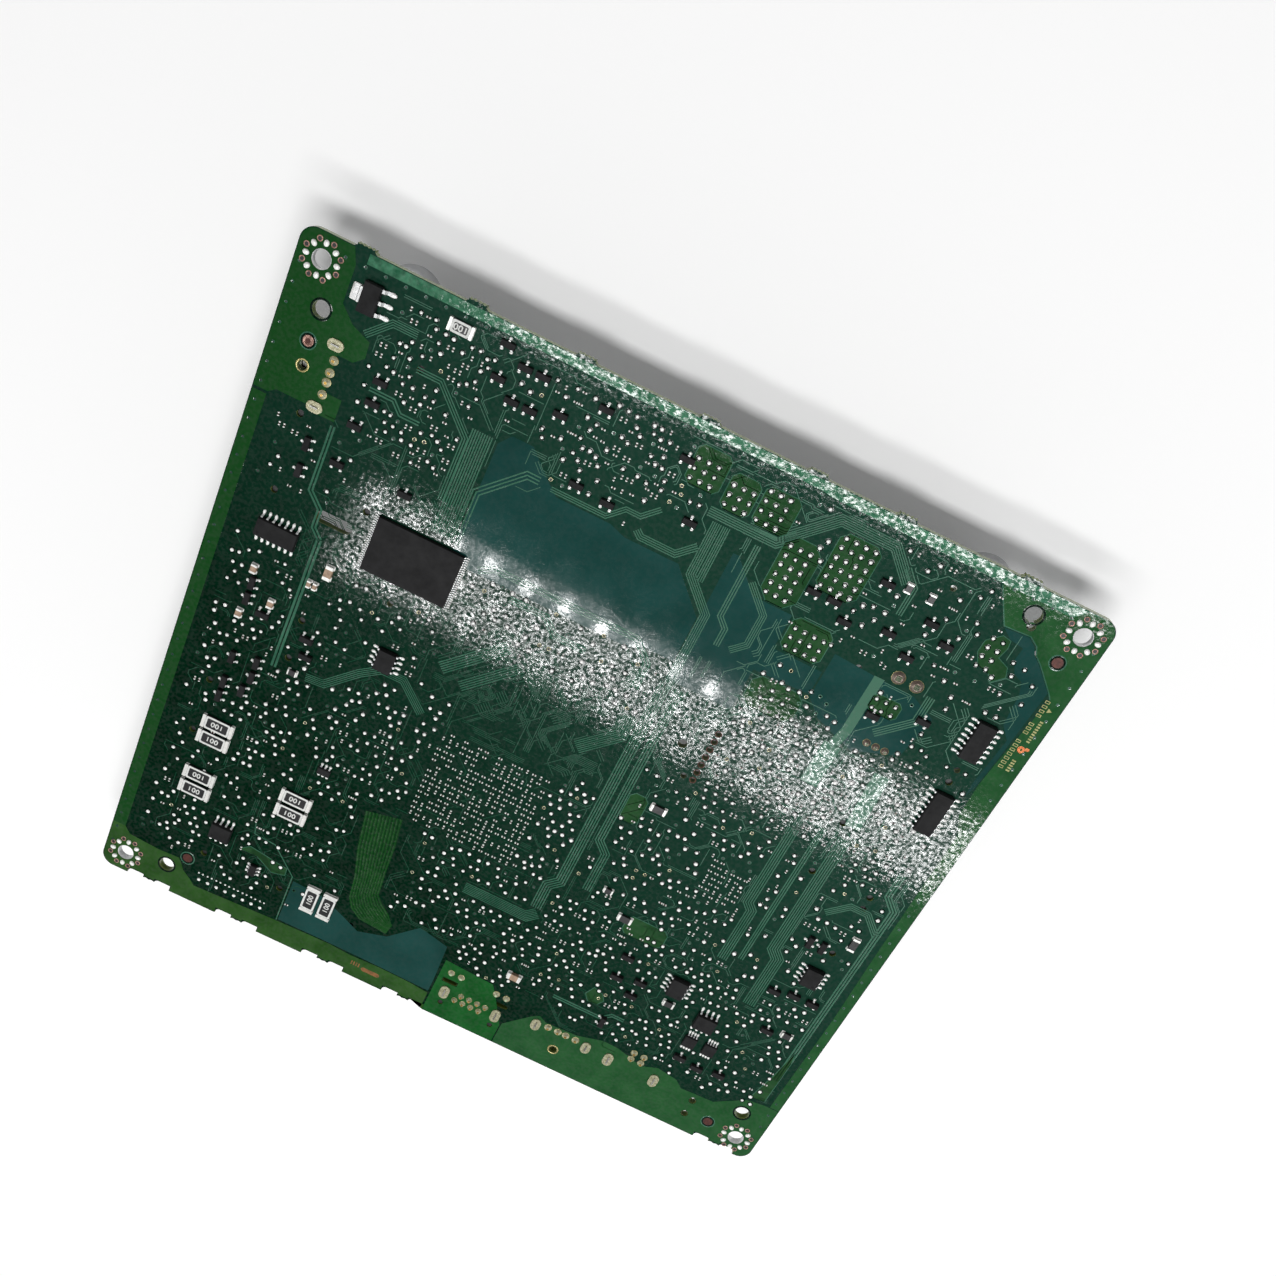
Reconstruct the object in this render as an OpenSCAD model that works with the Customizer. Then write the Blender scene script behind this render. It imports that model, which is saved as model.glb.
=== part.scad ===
// Printer main board: a controller card that stands on its component side, soldered side up.
// The origin is under the middle of the card, and z = 0 is the surface that the tallest parts stand on.
// The ports open towards -y, and the parts of the component side hang below the card.

/* [Board] */
// Width of the card, left to right
board_w = 166; // [162:1:186]
// Depth of the card, port edge to rear edge
board_d = 154; // [152:1:176]
// Thickness of the laminate
board_t = 1.6; // [1:0.2:2.4]
// Radius of the card's corners
corner_r = 3; // [1:0.5:4]
// Distance of each mounting hole's centre from both edges
hole_inset = 5; // [4.5:0.5:6]
// Diameter of the four mounting holes
hole_d = 3.8; // [3:0.1:4.4]
// Diameter of the four tooling holes
tooling_d = 3.4; // [2.6:0.2:4]
// Width of a break-away stub on the rear edge
stub_w = 3.5; // [2:0.5:5]
// How far a broken stub stands proud of the rear edge
stub_proud = 0.8; // [0.4:0.1:1.2]
// Depth of the routed notches in the port edge
notch_depth = 1.35; // [0.8:0.05:1.8]

/* [Chips on the soldered side] */
// Length of the flash memory's body
flash_l = 18.4; // [16:0.2:20]
// Width of the flash memory's body
flash_w = 12; // [12:0.2:14]
// Height of the flash memory above the card
flash_h = 1.1; // [0.9:0.1:1.4]
// Lead pitch of the flash memory
flash_pitch = 0.5; // [0.4:0.05:0.5]
// Body width of the small-outline chips
soic_w = 3.9; // [3.5:0.1:4.4]
// Height of the small-outline chips above the card
soic_h = 1.6; // [1.4:0.1:1.9]
// Lead pitch of the small-outline chips
soic_pitch = 1.27; // [1:0.01:1.27]
// Body length of a small transistor
sot_l = 2.9; // [2.6:0.1:3.1]
// Body width of a small transistor
sot_w = 1.3; // [1.1:0.1:1.5]
// Height of a small transistor above the card
sot_h = 1.05; // [0.9:0.05:1.3]
// Length of the voltage regulator's body
regulator_l = 5.9; // [5.5:0.1:7]
// Width of the voltage regulator's body
regulator_w = 3.5; // [3.1:0.1:3.9]
// Height of the voltage regulator above the card
regulator_h = 1.7; // [1.5:0.1:1.9]
// Length of a current-sensing resistor with its ends
sense_l = 7.2; // [6.2:0.1:7.4]
// Width of a current-sensing resistor
sense_w = 3.2; // [2.6:0.1:3.4]
// Height of a current-sensing resistor
sense_h = 0.7; // [0.5:0.05:0.9]

/* [Network jack] */
// Width of the jack over its shield
jack_w = 16; // [15.6:0.1:17]
// Depth of the jack from its face to its back
jack_d = 15.6; // [15.2:0.1:17]
// Height of the jack below the card
jack_h = 13.5; // [13:0.1:14.5]
// Width of the plug's opening
plug_w = 11.9; // [11:0.1:12.2]
// Height of the plug's opening, without the latch's notch
plug_h = 6.9; // [6.4:0.1:7.2]
// Depth of the plug's opening
plug_d = 12.4; // [10.5:0.1:12.8]

/* [USB ports] */
// Thickness of every port's sheet-metal shell
shell_t = 0.3; // [0.2:0.05:0.4]
// Width of a host port's shell
host_w = 13.1; // [12.8:0.1:13.6]
// Height of a host port's shell
host_h = 5.8; // [5.6:0.1:6.4]
// Depth of a host port's shell
host_d = 14; // [13.8:0.1:15]
// Width of the device port's shell
device_w = 12; // [11.8:0.1:12.6]
// Height of the device port's shell
device_h = 11; // [10.6:0.1:11.6]
// Depth of the device port's shell
device_d = 16.8; // [16.6:0.1:18]
// How far the ports stand out past the port edge
port_overhang = 0.8; // [0.2:0.1:1.2]

/* [Ribbon and wire connectors] */
// Pitch of the ribbon connectors' contacts
ribbon_pitch = 1; // [0.8:0.05:1]
// Width of the ribbon connectors' housings
ribbon_w = 5.4; // [4.6:0.1:6]
// Height of the ribbon connectors' housings
ribbon_h = 6.6; // [5:0.1:8]
// Pitch of the wire headers' pins
header_pitch = 2; // [1.5:0.1:2]
// Width of the wire headers' housings
header_w = 5; // [4.6:0.1:5.6]
// Height of the wire headers' housings
header_h = 6.2; // [5.4:0.1:8]
// Pitch of the power header's two pins
power_pitch = 3.96; // [3.5:0.02:4.2]
// Height of the power header's back wall
power_h = 10.4; // [8:0.1:12]

/* [Processors and memory] */
// Side of the main processor's package
processor_w = 27; // [23:0.5:29]
// Height of the main processor above its solder balls
processor_h = 1.8; // [1.2:0.1:2.4]
// Height of the heat sink with its base
sink_h = 8; // [5:0.5:9]
// Thickness of a heat sink fin
fin_t = 0.9; // [0.6:0.1:1.2]
// Number of heat sink fins
fin_count = 9; // [6:1:10]
// Width of a memory chip
memory_w = 9; // [8:0.5:11]
// Length of a memory chip
memory_l = 12.5; // [11:0.5:14]
// Side of the servo processor's package
servo_w = 13; // [11:0.5:14]
// Height of a solder ball
ball_h = 0.5; // [0.3:0.05:0.7]

/* [Power parts] */
// Diameter of a bulk capacitor's can
bulk_d = 12.5; // [11:0.5:13]
// Height of a bulk capacitor
bulk_h = 13.5; // [12:0.1:13.5]
// Diameter of a small capacitor's can
small_cap_d = 8; // [6.3:0.1:9]
// Height of a small capacitor
small_cap_h = 10; // [6:0.5:11]
// Side of a power inductor
inductor_w = 10; // [8:0.5:11]
// Height of a power inductor
inductor_h = 4.8; // [3:0.1:6]
// Length of a motor driver's body
driver_l = 15.4; // [15:0.1:16]
// Width of a motor driver's body
driver_w = 7.5; // [6.5:0.1:8]

/* [Fits] */
// Clearance round a part that slides into another
fit_gap = 0.1; // [0.05:0.05:0.2]
// How far a soldered pin stands out of the card
pin_out = 0.7; // [0.4:0.1:1.2]

/* [Hidden] */
$fn = 48;
eps = 0.01;
board_under = max(jack_h, bulk_h);
board_top = board_under + board_t;
ball_d = 0.75;
laminate_h = 0.6;
lead_thick = 0.2;

// Distances measured in from the card's four edges
function from_left(d) = -board_w / 2 + d;
function from_right(d) = board_w / 2 - d;
function from_rear(d) = board_d / 2 - d;
function from_front(d) = -board_d / 2 + d;

// The places below are drawn for a card of 166 x 154 mm, and spread as the card grows
function spread(p) = [p.x * board_w / 166, p.y * board_d / 154,
    for (i = [2:1:len(p) - 1]) p[i]];
function spread_all(places) = [for (p = places) spread(p)];

// Places on the card are [x, y, turn], seen from the soldered side
mount_holes = [for (x = [from_left(hole_inset), from_right(hole_inset)])
    for (y = [from_front(hole_inset), from_rear(hole_inset)]) [x, y]];
tooling_holes = [
    [from_left(7.8), from_rear(13.4)],
    [from_right(15.2), from_rear(5.4)],
    [from_left(14.7), from_front(6.9)],
    [from_right(7.1), from_front(12.4)]];
guide_holes = [
    [from_right(14.4), from_rear(7.6)],
    [from_right(10.4), from_rear(11.8)],
    [from_right(18.5), from_front(9.5)],
    [from_right(18.5), from_front(5.1)]];
guide_d = 1.7;

// Plain holes that no part uses: an empty header's column, a gauge hole and single lead holes
header_column = spread([27.4, 8.9]);
header_column_pitch = 2;
header_column_count = 7;
header_column_d = 1.1;
lead_holes = spread_all([[25.3, 8.9], [-43.4, 15.1], [52.2, 69.4], [44.7, 47], [72.3, 36.7]]);
lead_hole_d = 1.3;
gauge_hole = spread([21.9, 15.5]);
gauge_hole_d = 2;
air_slot = spread([-59.5, 25.9]);
air_slot_l = 7.7;
air_slot_w = 2.6;

// Break-away stubs along the rear edge, and pairs of notches along the port edge
stub_x = [for (x = [-71, -49, -27.2, -2.2, 19.9, 38.2, 64.2]) spread([x, 0]).x];
stub_flare = 0.55;
stub_root = 1;
stub_teeth = 8;
tooth = 0.2;
notch_w = 3.8;
notch_r = 1;
tab_w = 2.8;
tab_x = [for (x = [-71.1, -49.1, -27.2, -6.7, 74.3]) spread([x, 0]).x];
tab_recess = 0.5;

// Ports: each one's place is its face, at the card's underside
port_face = -board_d / 2 - port_overhang;
jack_at = [spread([8, 0]).x, port_face, 0];
host_front_at = [spread([30.1, 0]).x, port_face, 0];
host_side_at = [from_left(1.3), spread([0, 52.3]).y, -90];
device_at = [spread([48.2, 0]).x, port_face, 0];
pin_w = 0.5;
pin_hole_d = 1;
slot_w = 1.5;

// Jack: contact wires in two rows, lamp legs, shield legs and pegs, as distances behind its face
jack_contacts = 8;
jack_contact_pitch = 1.02;
jack_row_front = 7.4;
jack_row_rear = 9.2;
jack_lamp_x = 5.7;
jack_lamp_w = 3;
jack_lamp_h = 2;
jack_lamp_legs = 2.5;
jack_lamp_back = 14.2;
jack_leg_x = 6.5;
jack_leg_back = 8.4;
jack_leg_w = 2;
jack_peg_x = 6.3;
jack_peg_back = 5.1;
jack_peg_d = 1;
jack_lift = 0.6;
jack_floor = 3.3;
jack_vent_x = 6.4;
jack_vent_back = 11.7;

// USB ports: pins and legs, as distances behind the face
host_pin_x = [-3.5, -1, 1, 3.5];
host_pin_back = 11.8;
host_leg_back = 11.2;
host_leg_w = 1.6;
host_lift = 0.6;
host_centre_back = 6.5;
host_tongue_t = 1.85;
host_tongue_w = 11.1;
host_flare = 0.4;
device_pin_x = [-1.25, 1.25];
device_pin_back = [13.8, 15.7];
device_leg_back = 10.9;
device_leg_w = 2;
device_mouth_w = 8.5;
device_mouth_h = 7.8;
device_mouth_d = 9.4;
device_tongue_w = 5.6;
device_tongue_h = 3.2;

// Connectors are [x, y, turn] with a number of ways, and stand on pegs outside their contacts
connector_gap = 0.6;
ribbon_peg_out = 2.85;
ribbon_end = 1.3;
header_peg_out = 1.65;
header_end = 1.2;
function ribbon_peg_x(ways) = (ways - 1) * ribbon_pitch / 2 + ribbon_peg_out;
function header_peg_x(ways) = (ways - 1) * header_pitch / 2 + header_peg_out;
function ribbon_half(ways) = ribbon_peg_x(ways) + ribbon_end;
function header_half(ways) = header_peg_x(ways) + header_end;
side_ribbon_at = [from_right(10.7), spread([0, 17.75]).y, 90];
side_ribbon_ways = 27;
narrow_ribbon_ways = 12;
ribbons = [[spread([-54.3, 46.35, 90]), 26], [side_ribbon_at, side_ribbon_ways],
    [[from_left(10.3), host_side_at.y - host_w / 2 - host_flare - connector_gap
        - ribbon_half(narrow_ribbon_ways), 90], narrow_ribbon_ways],
    [[spread([-51.9, 0]).x, from_front(14.45), 0], 14]];
ribbon_slot = 1;
peg_d = 1.3;
peg_recess = 0.7;
side_header_ways = 6;
headers = [[[from_right(10.65), side_ribbon_at.y - ribbon_half(side_ribbon_ways) - connector_gap
        - header_half(side_header_ways), 90], side_header_ways],
    [spread([-72.65, -26.4, 90]), 6], [spread([58.8, 8.4, 90]), 6],
    [[spread([-31.15, 0]).x, from_front(13.5), 0], 6], [spread([-58.75, -1.85, 90]), 4]];
header_wall = 0.8;
header_floor = 1.2;
through_header = spread([55.95, 33.5, 0]);
through_ways = 3;
power_at = spread([54.4, 48.75, 0]);
power_pin_w = 1.1;
power_base_h = 3.2;
power_l = power_pitch + 4.2;
power_w = 8.4;

// Soldered side: packages by place
logic_14 = spread_all([[-69.2, 18.5, 0], [72.3, 44.2, 90]]);
logic_16 = spread_all([[73, 26.3, 90]]);
small_8 = spread_all([[-39.9, 3.1, 90], [-59.1, -54.6, 0], [47.4, -39.7, 90], [56.9, -45.3, 0],
    [71.3, -21.9, 90]]);
micro_8 = spread_all([[56.3, -52, 0], [61.1, -51.8, 0]]);
micro_6 = spread_all([[-49.6, -60.7, 90], [-43, -28.2, 0]]);
flash_at = spread([-42.4, 25.8, 0]);
regulator_at = spread([-67.2, 69.6, 90]);
sense_at = spread_all([[-67.7, -29.4, 0], [-67.7, -33.3, 0], [-67.9, -43.3, 0], [-67.9, -47.3, 0],
    [-46.4, -38.2, 0], [-46.4, -42.2, 0], [-35.1, -61.4, 90], [-31, -61.4, 90]]);
bleed_at = spread([-50.1, 72.1, 0]);
bleed_l = 5;
bleed_w = 2.5;
transistors = spread_all([
    [-60.3, 56.1, 180], [-60.4, 51.7, 0], [-62.1, 46.1, 180], [-62.8, 37.6, 0],
    [-69.5, 38.6, 90], [-69.3, 32.9, 90], [-40.5, 66.9, 0], [-36.6, 70.8, 0],
    [-33, 70.8, 0], [-36.6, 64, 0], [-32.9, 64, 0], [-41.1, 73.3, 0],
    [-48.6, 37.9, 0], [-20.1, 70.6, 0], [-27.4, 65.8, 0], [-2.8, 69, 0],
    [-12.7, 54.4, 0], [2.8, 58.3, 0], [-19.4, 55, 0], [41.1, 64.7, 0],
    [46.1, 56.1, 0], [52.2, 61.5, 0], [56.8, 58.8, 0], [51.5, 53.3, 0],
    [37.6, 54.2, 0], [34, 57, 0], [29.7, 56.9, 0], [61.1, 42.9, 0],
    [51.9, 39.4, 0], [-70.7, 6, 90], [-70.7, 2.3, 90], [-66.6, 0.3, 180],
    [-56.4, -0.6, 180], [-55.4, -4.4, 0], [-69.6, -11.9, 90], [-64.4, -10.8, 90],
    [-64.4, -14.5, 90], [-69.6, -18.3, 90], [-65.4, -18.5, 90], [-69.6, -21.9, 90],
    [66.7, -14, 90], [69.7, -14, 90], [34.4, -38.2, 0], [34.4, -44.3, 0],
    [39.2, -47.3, 0], [39.7, -43, 0], [56.3, -57.3, 0], [60.9, -58, 0],
    [66.1, -57.1, 0], [69.7, -40, 0], [70.4, -28.4, 0], [74.9, -28.4, 0],
    [66.1, -29.5, 0], [36.7, -57.5, 270]]);
// Tan ceramic capacitors are [x, y, turn, length, width]
ceramics = spread_all([[-71.3, 9.1, 90, 2, 1.25], [-65.8, 3.4, 90, 2, 1.25], [-71.3, -1.7, 90, 2, 1.25],
    [-57, 15.5, 90, 3.2, 1.6], [14.1, -56.6, 0, 3.2, 1.6], [-59.9, 11.4, 90, 1.6, 0.8],
    [-58.6, 11.4, 90, 1.6, 0.8]]);
ceramic_h = 0.9;
// Black diodes and chip resistors are [x, y, turn, length, width]
diodes = spread_all([[24.2, -0.8, 0, 3.4, 1.6], [75, -10, 90, 3.4, 1.6], [47.6, -45, 0, 2.6, 1.4],
    [74.2, -39.1, 0, 2.6, 1.4], [29.5, -29.3, 0, 3.2, 1.6], [-56.8, -9.2, 0, 2, 1.2],
    [23.3, -24.5, 0, 2, 1.2], [45, 65.7, 90, 2, 1.2], [49.7, 65.7, 90, 2, 1.2]]);
diode_h = 0.75;

// Component side: packages by place
processor_at = spread([-10.5, -17.5, 0]);
memory_rise = 9;
memory_apart = 16;
memory_at = [for (side = [-1, 1]) [processor_at.x + side * memory_apart / 2,
    processor_at.y + processor_w / 2 + memory_rise + memory_l / 2, 90]];
memory_h = 0.9;
servo_at = spread([45, -11, 0]);
servo_h = 1.1;
network_chip_at = spread([8, -46, 0]);
network_chip_w = 7;
network_chip_h = 1.5;
network_pitch = 0.5;
drivers = spread_all([[-55, -31, 0], [-55, -44, 0], [-35.5, -39, 0], [-37, -52, 0]]);
driver_h = 2.5;
driver_pins = 24;
bulk_at = spread_all([[-64, 69.5, 0], [60, 69, 0], [-70, -56, 0], [68, -56, 0]]);
small_cap_at = spread_all([[-40, 66, 0], [-29, 66, 0], [-18, 66, 0], [20, 50, 90], [40, 28, 90],
    [30, -30, 0], [62, -30, 90]]);
inductors = spread_all([[31, 62, 0], [34, 43, 90], [45, 62, 0]]);
power_transistors = spread_all([[1.5, 67, 0], [10, 67, 0], [19, 67, 0]]);
crystals = spread_all([[20, -46, 90], [14, -13, 0], [34, -6, 90]]);
crystal_l = 5;
crystal_w = 3.2;
// Small capacitors under the card are chips of one size
chip_l = 1.6;
chip_w = 0.8;
chip_h = 0.8;
chip_row_gap = 2;
tape_t = 0.25;
sink_base_h = 2;
sink_cut = 1.4;

// ---------------------------------------------------------------- placing and basic shapes

// Sets a part on the soldered side
module on_top(at) translate([at.x, at.y, board_top]) rotate([0, 0, at.z]) children();

// Hangs a part on the component side: its own z points down, and its own +y towards the port edge
module under(at) translate([at.x, at.y, board_under]) rotate([180, 0, at.z]) children();

// Draws a hanging part's outline on the card, as the soldered side shows it
module through_card(at) translate([at.x, at.y]) rotate(at.z) mirror([0, 1]) children();

// A block of length l along x and width w along y, centred on the z axis
module block(l, w, z0, z1) translate([-l / 2, -w / 2, z0]) cube([l, w, z1 - z0]);

// Extrudes a profile drawn in y and z along x, centred on x = 0
module along_x(l) rotate([90, 0, 90]) linear_extrude(l, center = true) children();

// Extrudes a profile drawn in x and z along y, centred on y = 0
module along_y(w) rotate([90, 0, 0]) linear_extrude(w, center = true) children();

// A rectangle with round corners
module rounded_rect(l, w, r) {
    square([l - 2 * r, w], center = true);
    square([l, w - 2 * r], center = true);
    for (x = [-1, 1])
        for (y = [-1, 1])
            translate([x * (l / 2 - r), y * (w / 2 - r)]) circle(r);
}

// A slot with round ends, l long overall along y
module upright_slot(w, l) {
    square([w, l - w], center = true);
    for (side = [-1, 1])
        translate([0, side * (l - w) / 2]) circle(d = w);
}

// A moulded body's end profile: drafted faces meet at a flat band where the leads come out
function moulded_profile(w, h, band_top, band, foot, draft) = [
    [-w / 2 + draft, foot], [-w / 2, band_top - band], [-w / 2, band_top],
    [-w / 2 + draft, h], [w / 2 - draft, h], [w / 2, band_top],
    [w / 2, band_top - band], [w / 2 - draft, foot]];

// A moulded chip body with drafted sides and a pin-one dimple
module moulded_body(l, w, h, band_top, band = lead_thick, foot = 0.1, draft = 0.12, dimple = 0) {
    difference() {
        intersection() {
            along_x(l) polygon(moulded_profile(w, h, band_top, band, foot, draft));
            along_y(w) polygon(moulded_profile(l, h, band_top, band, foot, draft));
        }
        if (dimple > 0)
            translate([-l / 2 + 1.6 * dimple, -w / 2 + 1.6 * dimple, h - 0.08])
                cylinder(d = dimple, h = 1);
    }
}

// The bent profile of a gull-wing lead, leaving the body at y = 0 and standing on z = 0
function gull(reach, top, t) = let (shoulder = 0.28 * reach, heel = 0.5 * reach) [
    [0, top], [shoulder, top], [heel, t], [reach, t], [reach, 0],
    [heel - 0.6 * t, 0], [shoulder - 0.6 * t, top - t], [0, top - t]];

// A row of leads along one side of a body, whose half width is half_w
module lead_row(count, pitch, half_w, reach, lead_w, top, t = lead_thick)
    for (i = [0:count - 1])
        translate([(i - (count - 1) / 2) * pitch, half_w, 0])
            along_x(lead_w) polygon(gull(reach, top, t));

// Leads on both long sides
module lead_rows(count, pitch, half_w, reach, lead_w, top, t = lead_thick)
    for (side = [0, 180])
        rotate([0, 0, side]) lead_row(count, pitch, half_w, reach, lead_w, top, t);

// A chip part's body between its two plated ends
module chip_body(l, w, h, cap) block(l - 2 * cap, w, 0.05, h - 0.03);

// The two plated ends of a chip part
module chip_ends(l, w, h, cap)
    for (side = [-1, 1])
        translate([side * (l - cap) / 2, 0, 0]) block(cap, w, 0, h);

// ---------------------------------------------------------------- the card

// The ragged outline of a broken stub, rooted in the card's edge
module stub() {
    half = stub_w / 2;
    foot = half + stub_flare;
    polygon(concat([[-foot, -stub_root], [foot, -stub_root], [foot, 0], [half, stub_proud / 2]],
        [for (i = [0:stub_teeth])
            [half - stub_w * i / stub_teeth, stub_proud - (i % 2) * tooth]],
        [[-half, stub_proud / 2], [-foot, 0]]));
}

// A routed notch, w wide, with the cutter's radius in one inner corner
module notch() {
    translate([0, -eps]) square([notch_w, notch_depth - notch_r + eps]);
    translate([notch_r, -eps]) square([notch_w - notch_r, notch_depth + eps]);
    translate([notch_r, notch_depth - notch_r]) circle(notch_r);
}

// The recessed ragged end of a tab between two notches
module broken_tab()
    polygon(concat([[-tab_w / 2 - eps, -eps]],
        [for (i = [0:4]) [-tab_w / 2 - eps + (tab_w + 2 * eps) * i / 4,
            tab_recess + (i % 2) * tooth]],
        [[tab_w / 2 + eps, -eps]]));

// The card's outline with its stubs and notches
module board_outline()
    difference() {
        union() {
            rounded_rect(board_w, board_d, corner_r);
            for (x = stub_x)
                translate([x, board_d / 2]) stub();
        }
        for (x = tab_x)
            translate([x, -board_d / 2]) {
                translate([tab_w / 2, 0]) notch();
                translate([-tab_w / 2 - notch_w, 0]) notch();
                broken_tab();
            }
    }

// Holes for the jack's pins, legs and pegs
module jack_holes() {
    for (i = [0:jack_contacts - 1])
        translate([jack_contact_x(i), -jack_row(i)]) circle(d = pin_hole_d);
    for (side = [-1, 1]) {
        for (leg = [-1, 1])
            translate([side * jack_lamp_x + leg * jack_lamp_legs / 2, -jack_lamp_back])
                circle(d = pin_hole_d);
        translate([side * jack_leg_x, -jack_leg_back]) upright_slot(slot_w, jack_leg_w + 0.8);
        translate([side * jack_peg_x, -jack_peg_back]) circle(d = jack_peg_d + 2 * fit_gap);
        translate([side * jack_vent_x, -jack_vent_back]) rotate(90) upright_slot(1.1, 3.6);
    }
}

// Holes for a host port's pins and legs
module host_holes() {
    for (x = host_pin_x)
        translate([x, -host_pin_back]) circle(d = pin_hole_d + 0.3);
    for (side = [-1, 1])
        translate([side * (host_w - shell_t) / 2, -host_leg_back])
            upright_slot(slot_w, host_leg_w + 0.9);
    translate([0, -host_centre_back]) circle(d = 1.7);
}

// Holes for the device port's pins and legs
module device_holes() {
    for (x = device_pin_x)
        for (back = device_pin_back)
            translate([x, -back]) circle(d = pin_hole_d);
    for (side = [-1, 1])
        translate([side * (device_w - shell_t) / 2, -device_leg_back])
            upright_slot(slot_w, device_leg_w + 0.8);
}

// Holes for a connector's two pegs
module peg_holes(peg_x)
    for (side = [-1, 1])
        translate([side * peg_x, 0]) circle(d = peg_d + 2 * fit_gap);

// Every hole in the card
module board_holes() {
    for (p = mount_holes)
        translate(p) circle(d = hole_d);
    for (p = tooling_holes)
        translate(p) circle(d = tooling_d);
    for (p = guide_holes)
        translate(p) circle(d = guide_d);
    for (p = lead_holes)
        translate(p) circle(d = lead_hole_d);
    for (i = [0:header_column_count - 1])
        translate(header_column + [0, i * header_column_pitch]) circle(d = header_column_d);
    translate(gauge_hole) circle(d = gauge_hole_d);
    translate(air_slot) rotate(90) upright_slot(air_slot_w, air_slot_l);
    through_card(jack_at) jack_holes();
    through_card(host_front_at) host_holes();
    through_card(host_side_at) host_holes();
    through_card(device_at) device_holes();
    for (c = ribbons)
        through_card(c[0]) peg_holes(ribbon_peg_x(c[1]));
    for (c = headers)
        through_card(c[0]) peg_holes(header_peg_x(c[1]));
    through_card(through_header)
        for (i = [0:through_ways - 1])
            translate([(i - (through_ways - 1) / 2) * header_pitch, 0]) circle(d = pin_hole_d);
    through_card(power_at)
        for (side = [-1, 1])
            translate([side * power_pitch / 2, 0]) circle(d = power_pin_w * sqrt(2) + 0.2);
}

module circuit_board()
    color("darkgreen")
        translate([0, 0, board_under])
            linear_extrude(board_t)
                difference() {
                    board_outline();
                    board_holes();
                }

// ---------------------------------------------------------------- solder round the pins

// A round fillet of solder on a square pin
module pin_fillet(w, pad_r = 0.8)
    difference() {
        cylinder(r1 = pad_r, r2 = w / 2 * sqrt(2) + 0.05, h = pin_out - 0.1);
        block(w, w, -1, pin_out + 1);
    }

// A low oval fillet of solder on a flat leg
module leg_fillet(t, w)
    difference() {
        linear_extrude(0.35) upright_slot(slot_w + 0.7, w + 1.6);
        block(t, w, -1, 1);
    }

// The soldered side of a hanging part's pins
module solder_side(at)
    translate([at.x, at.y, board_top]) rotate([0, 0, at.z]) mirror([0, 1, 0]) children();

module host_solder() {
    for (x = host_pin_x)
        translate([x, -host_pin_back, 0]) pin_fillet(pin_w, 0.9);
    for (side = [-1, 1])
        translate([side * (host_w - shell_t) / 2, -host_leg_back, 0])
            leg_fillet(shell_t, host_leg_w);
}

module jack_solder() {
    for (i = [0:jack_contacts - 1])
        translate([jack_contact_x(i), -jack_row(i), 0]) pin_fillet(pin_w, 0.7);
    for (side = [-1, 1]) {
        for (leg = [-1, 1])
            translate([side * jack_lamp_x + leg * jack_lamp_legs / 2, -jack_lamp_back, 0])
                pin_fillet(pin_w);
        translate([side * jack_leg_x, -jack_leg_back, 0]) leg_fillet(shell_t, jack_leg_w);
    }
}

module device_solder() {
    for (x = device_pin_x)
        for (back = device_pin_back)
            translate([x, -back, 0]) pin_fillet(pin_w);
    for (side = [-1, 1])
        translate([side * (device_w - shell_t) / 2, -device_leg_back, 0])
            leg_fillet(shell_t, device_leg_w);
}

module pin_solder()
    color("silver") {
        solder_side(jack_at) jack_solder();
        solder_side(host_front_at) host_solder();
        solder_side(host_side_at) host_solder();
        solder_side(device_at) device_solder();
        solder_side(through_header)
            for (i = [0:through_ways - 1])
                translate([(i - (through_ways - 1) / 2) * header_pitch, 0, 0]) pin_fillet(pin_w);
        solder_side(power_at)
            for (side = [-1, 1])
                translate([side * power_pitch / 2, 0, 0]) pin_fillet(power_pin_w, 1.4);
    }

// ---------------------------------------------------------------- soldered side

flash_reach = 0.8;
flash_band = 0.55;
flash_lead_t = 0.12;

module flash_memory()
    color("dimgray")
        on_top(flash_at)
            moulded_body(flash_l, flash_w, flash_h, flash_band, flash_lead_t, dimple = 1);

module flash_memory_leads()
    color("silver")
        on_top(flash_at)
            rotate([0, 0, 90])
                lead_rows(24, flash_pitch, flash_l / 2, flash_reach, 0.22, flash_band, flash_lead_t);

soic_reach = 1.05;
soic_band = 0.9;
soic_lead_w = 0.41;

// Body length of a small-outline chip with this many leads
function soic_l(pins) = (pins / 2 - 1) * soic_pitch + 1.03;

module soic_body(pins) moulded_body(soic_l(pins), soic_w, soic_h, soic_band, dimple = 0.6);

module soic_leads(pins)
    lead_rows(pins / 2, soic_pitch, soic_w / 2, soic_reach, soic_lead_w, soic_band);

module logic_chips()
    color("darkslategray") {
        for (at = logic_14)
            on_top(at) soic_body(14);
        for (at = logic_16)
            on_top(at) soic_body(16);
    }

module logic_chip_leads()
    color("silver") {
        for (at = logic_14)
            on_top(at) soic_leads(14);
        for (at = logic_16)
            on_top(at) soic_leads(16);
    }

module small_chips()
    color("darkslategray")
        for (at = small_8)
            on_top(at) soic_body(8);

module small_chip_leads()
    color("silver")
        for (at = small_8)
            on_top(at) soic_leads(8);

micro_w = 3;
micro_h = 0.95;
micro_band = 0.5;
micro_t = 0.15;
micro_reach = 0.9;
micro_6_l = 2.9;
micro_6_w = 1.6;

module micro_chips()
    color("darkslategray") {
        for (at = micro_8)
            on_top(at) moulded_body(micro_w, micro_w, micro_h, micro_band, micro_t, draft = 0.08);
        for (at = micro_6)
            on_top(at) moulded_body(micro_6_l, micro_6_w, micro_h, micro_band, micro_t, draft = 0.08);
    }

module micro_chip_leads()
    color("silver") {
        for (at = micro_8)
            on_top(at) lead_rows(4, 0.65, micro_w / 2, micro_reach, 0.3, micro_band, micro_t);
        for (at = micro_6)
            on_top(at) lead_rows(3, 0.95, micro_6_w / 2, 0.6, 0.4, micro_band, micro_t);
    }

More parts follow.
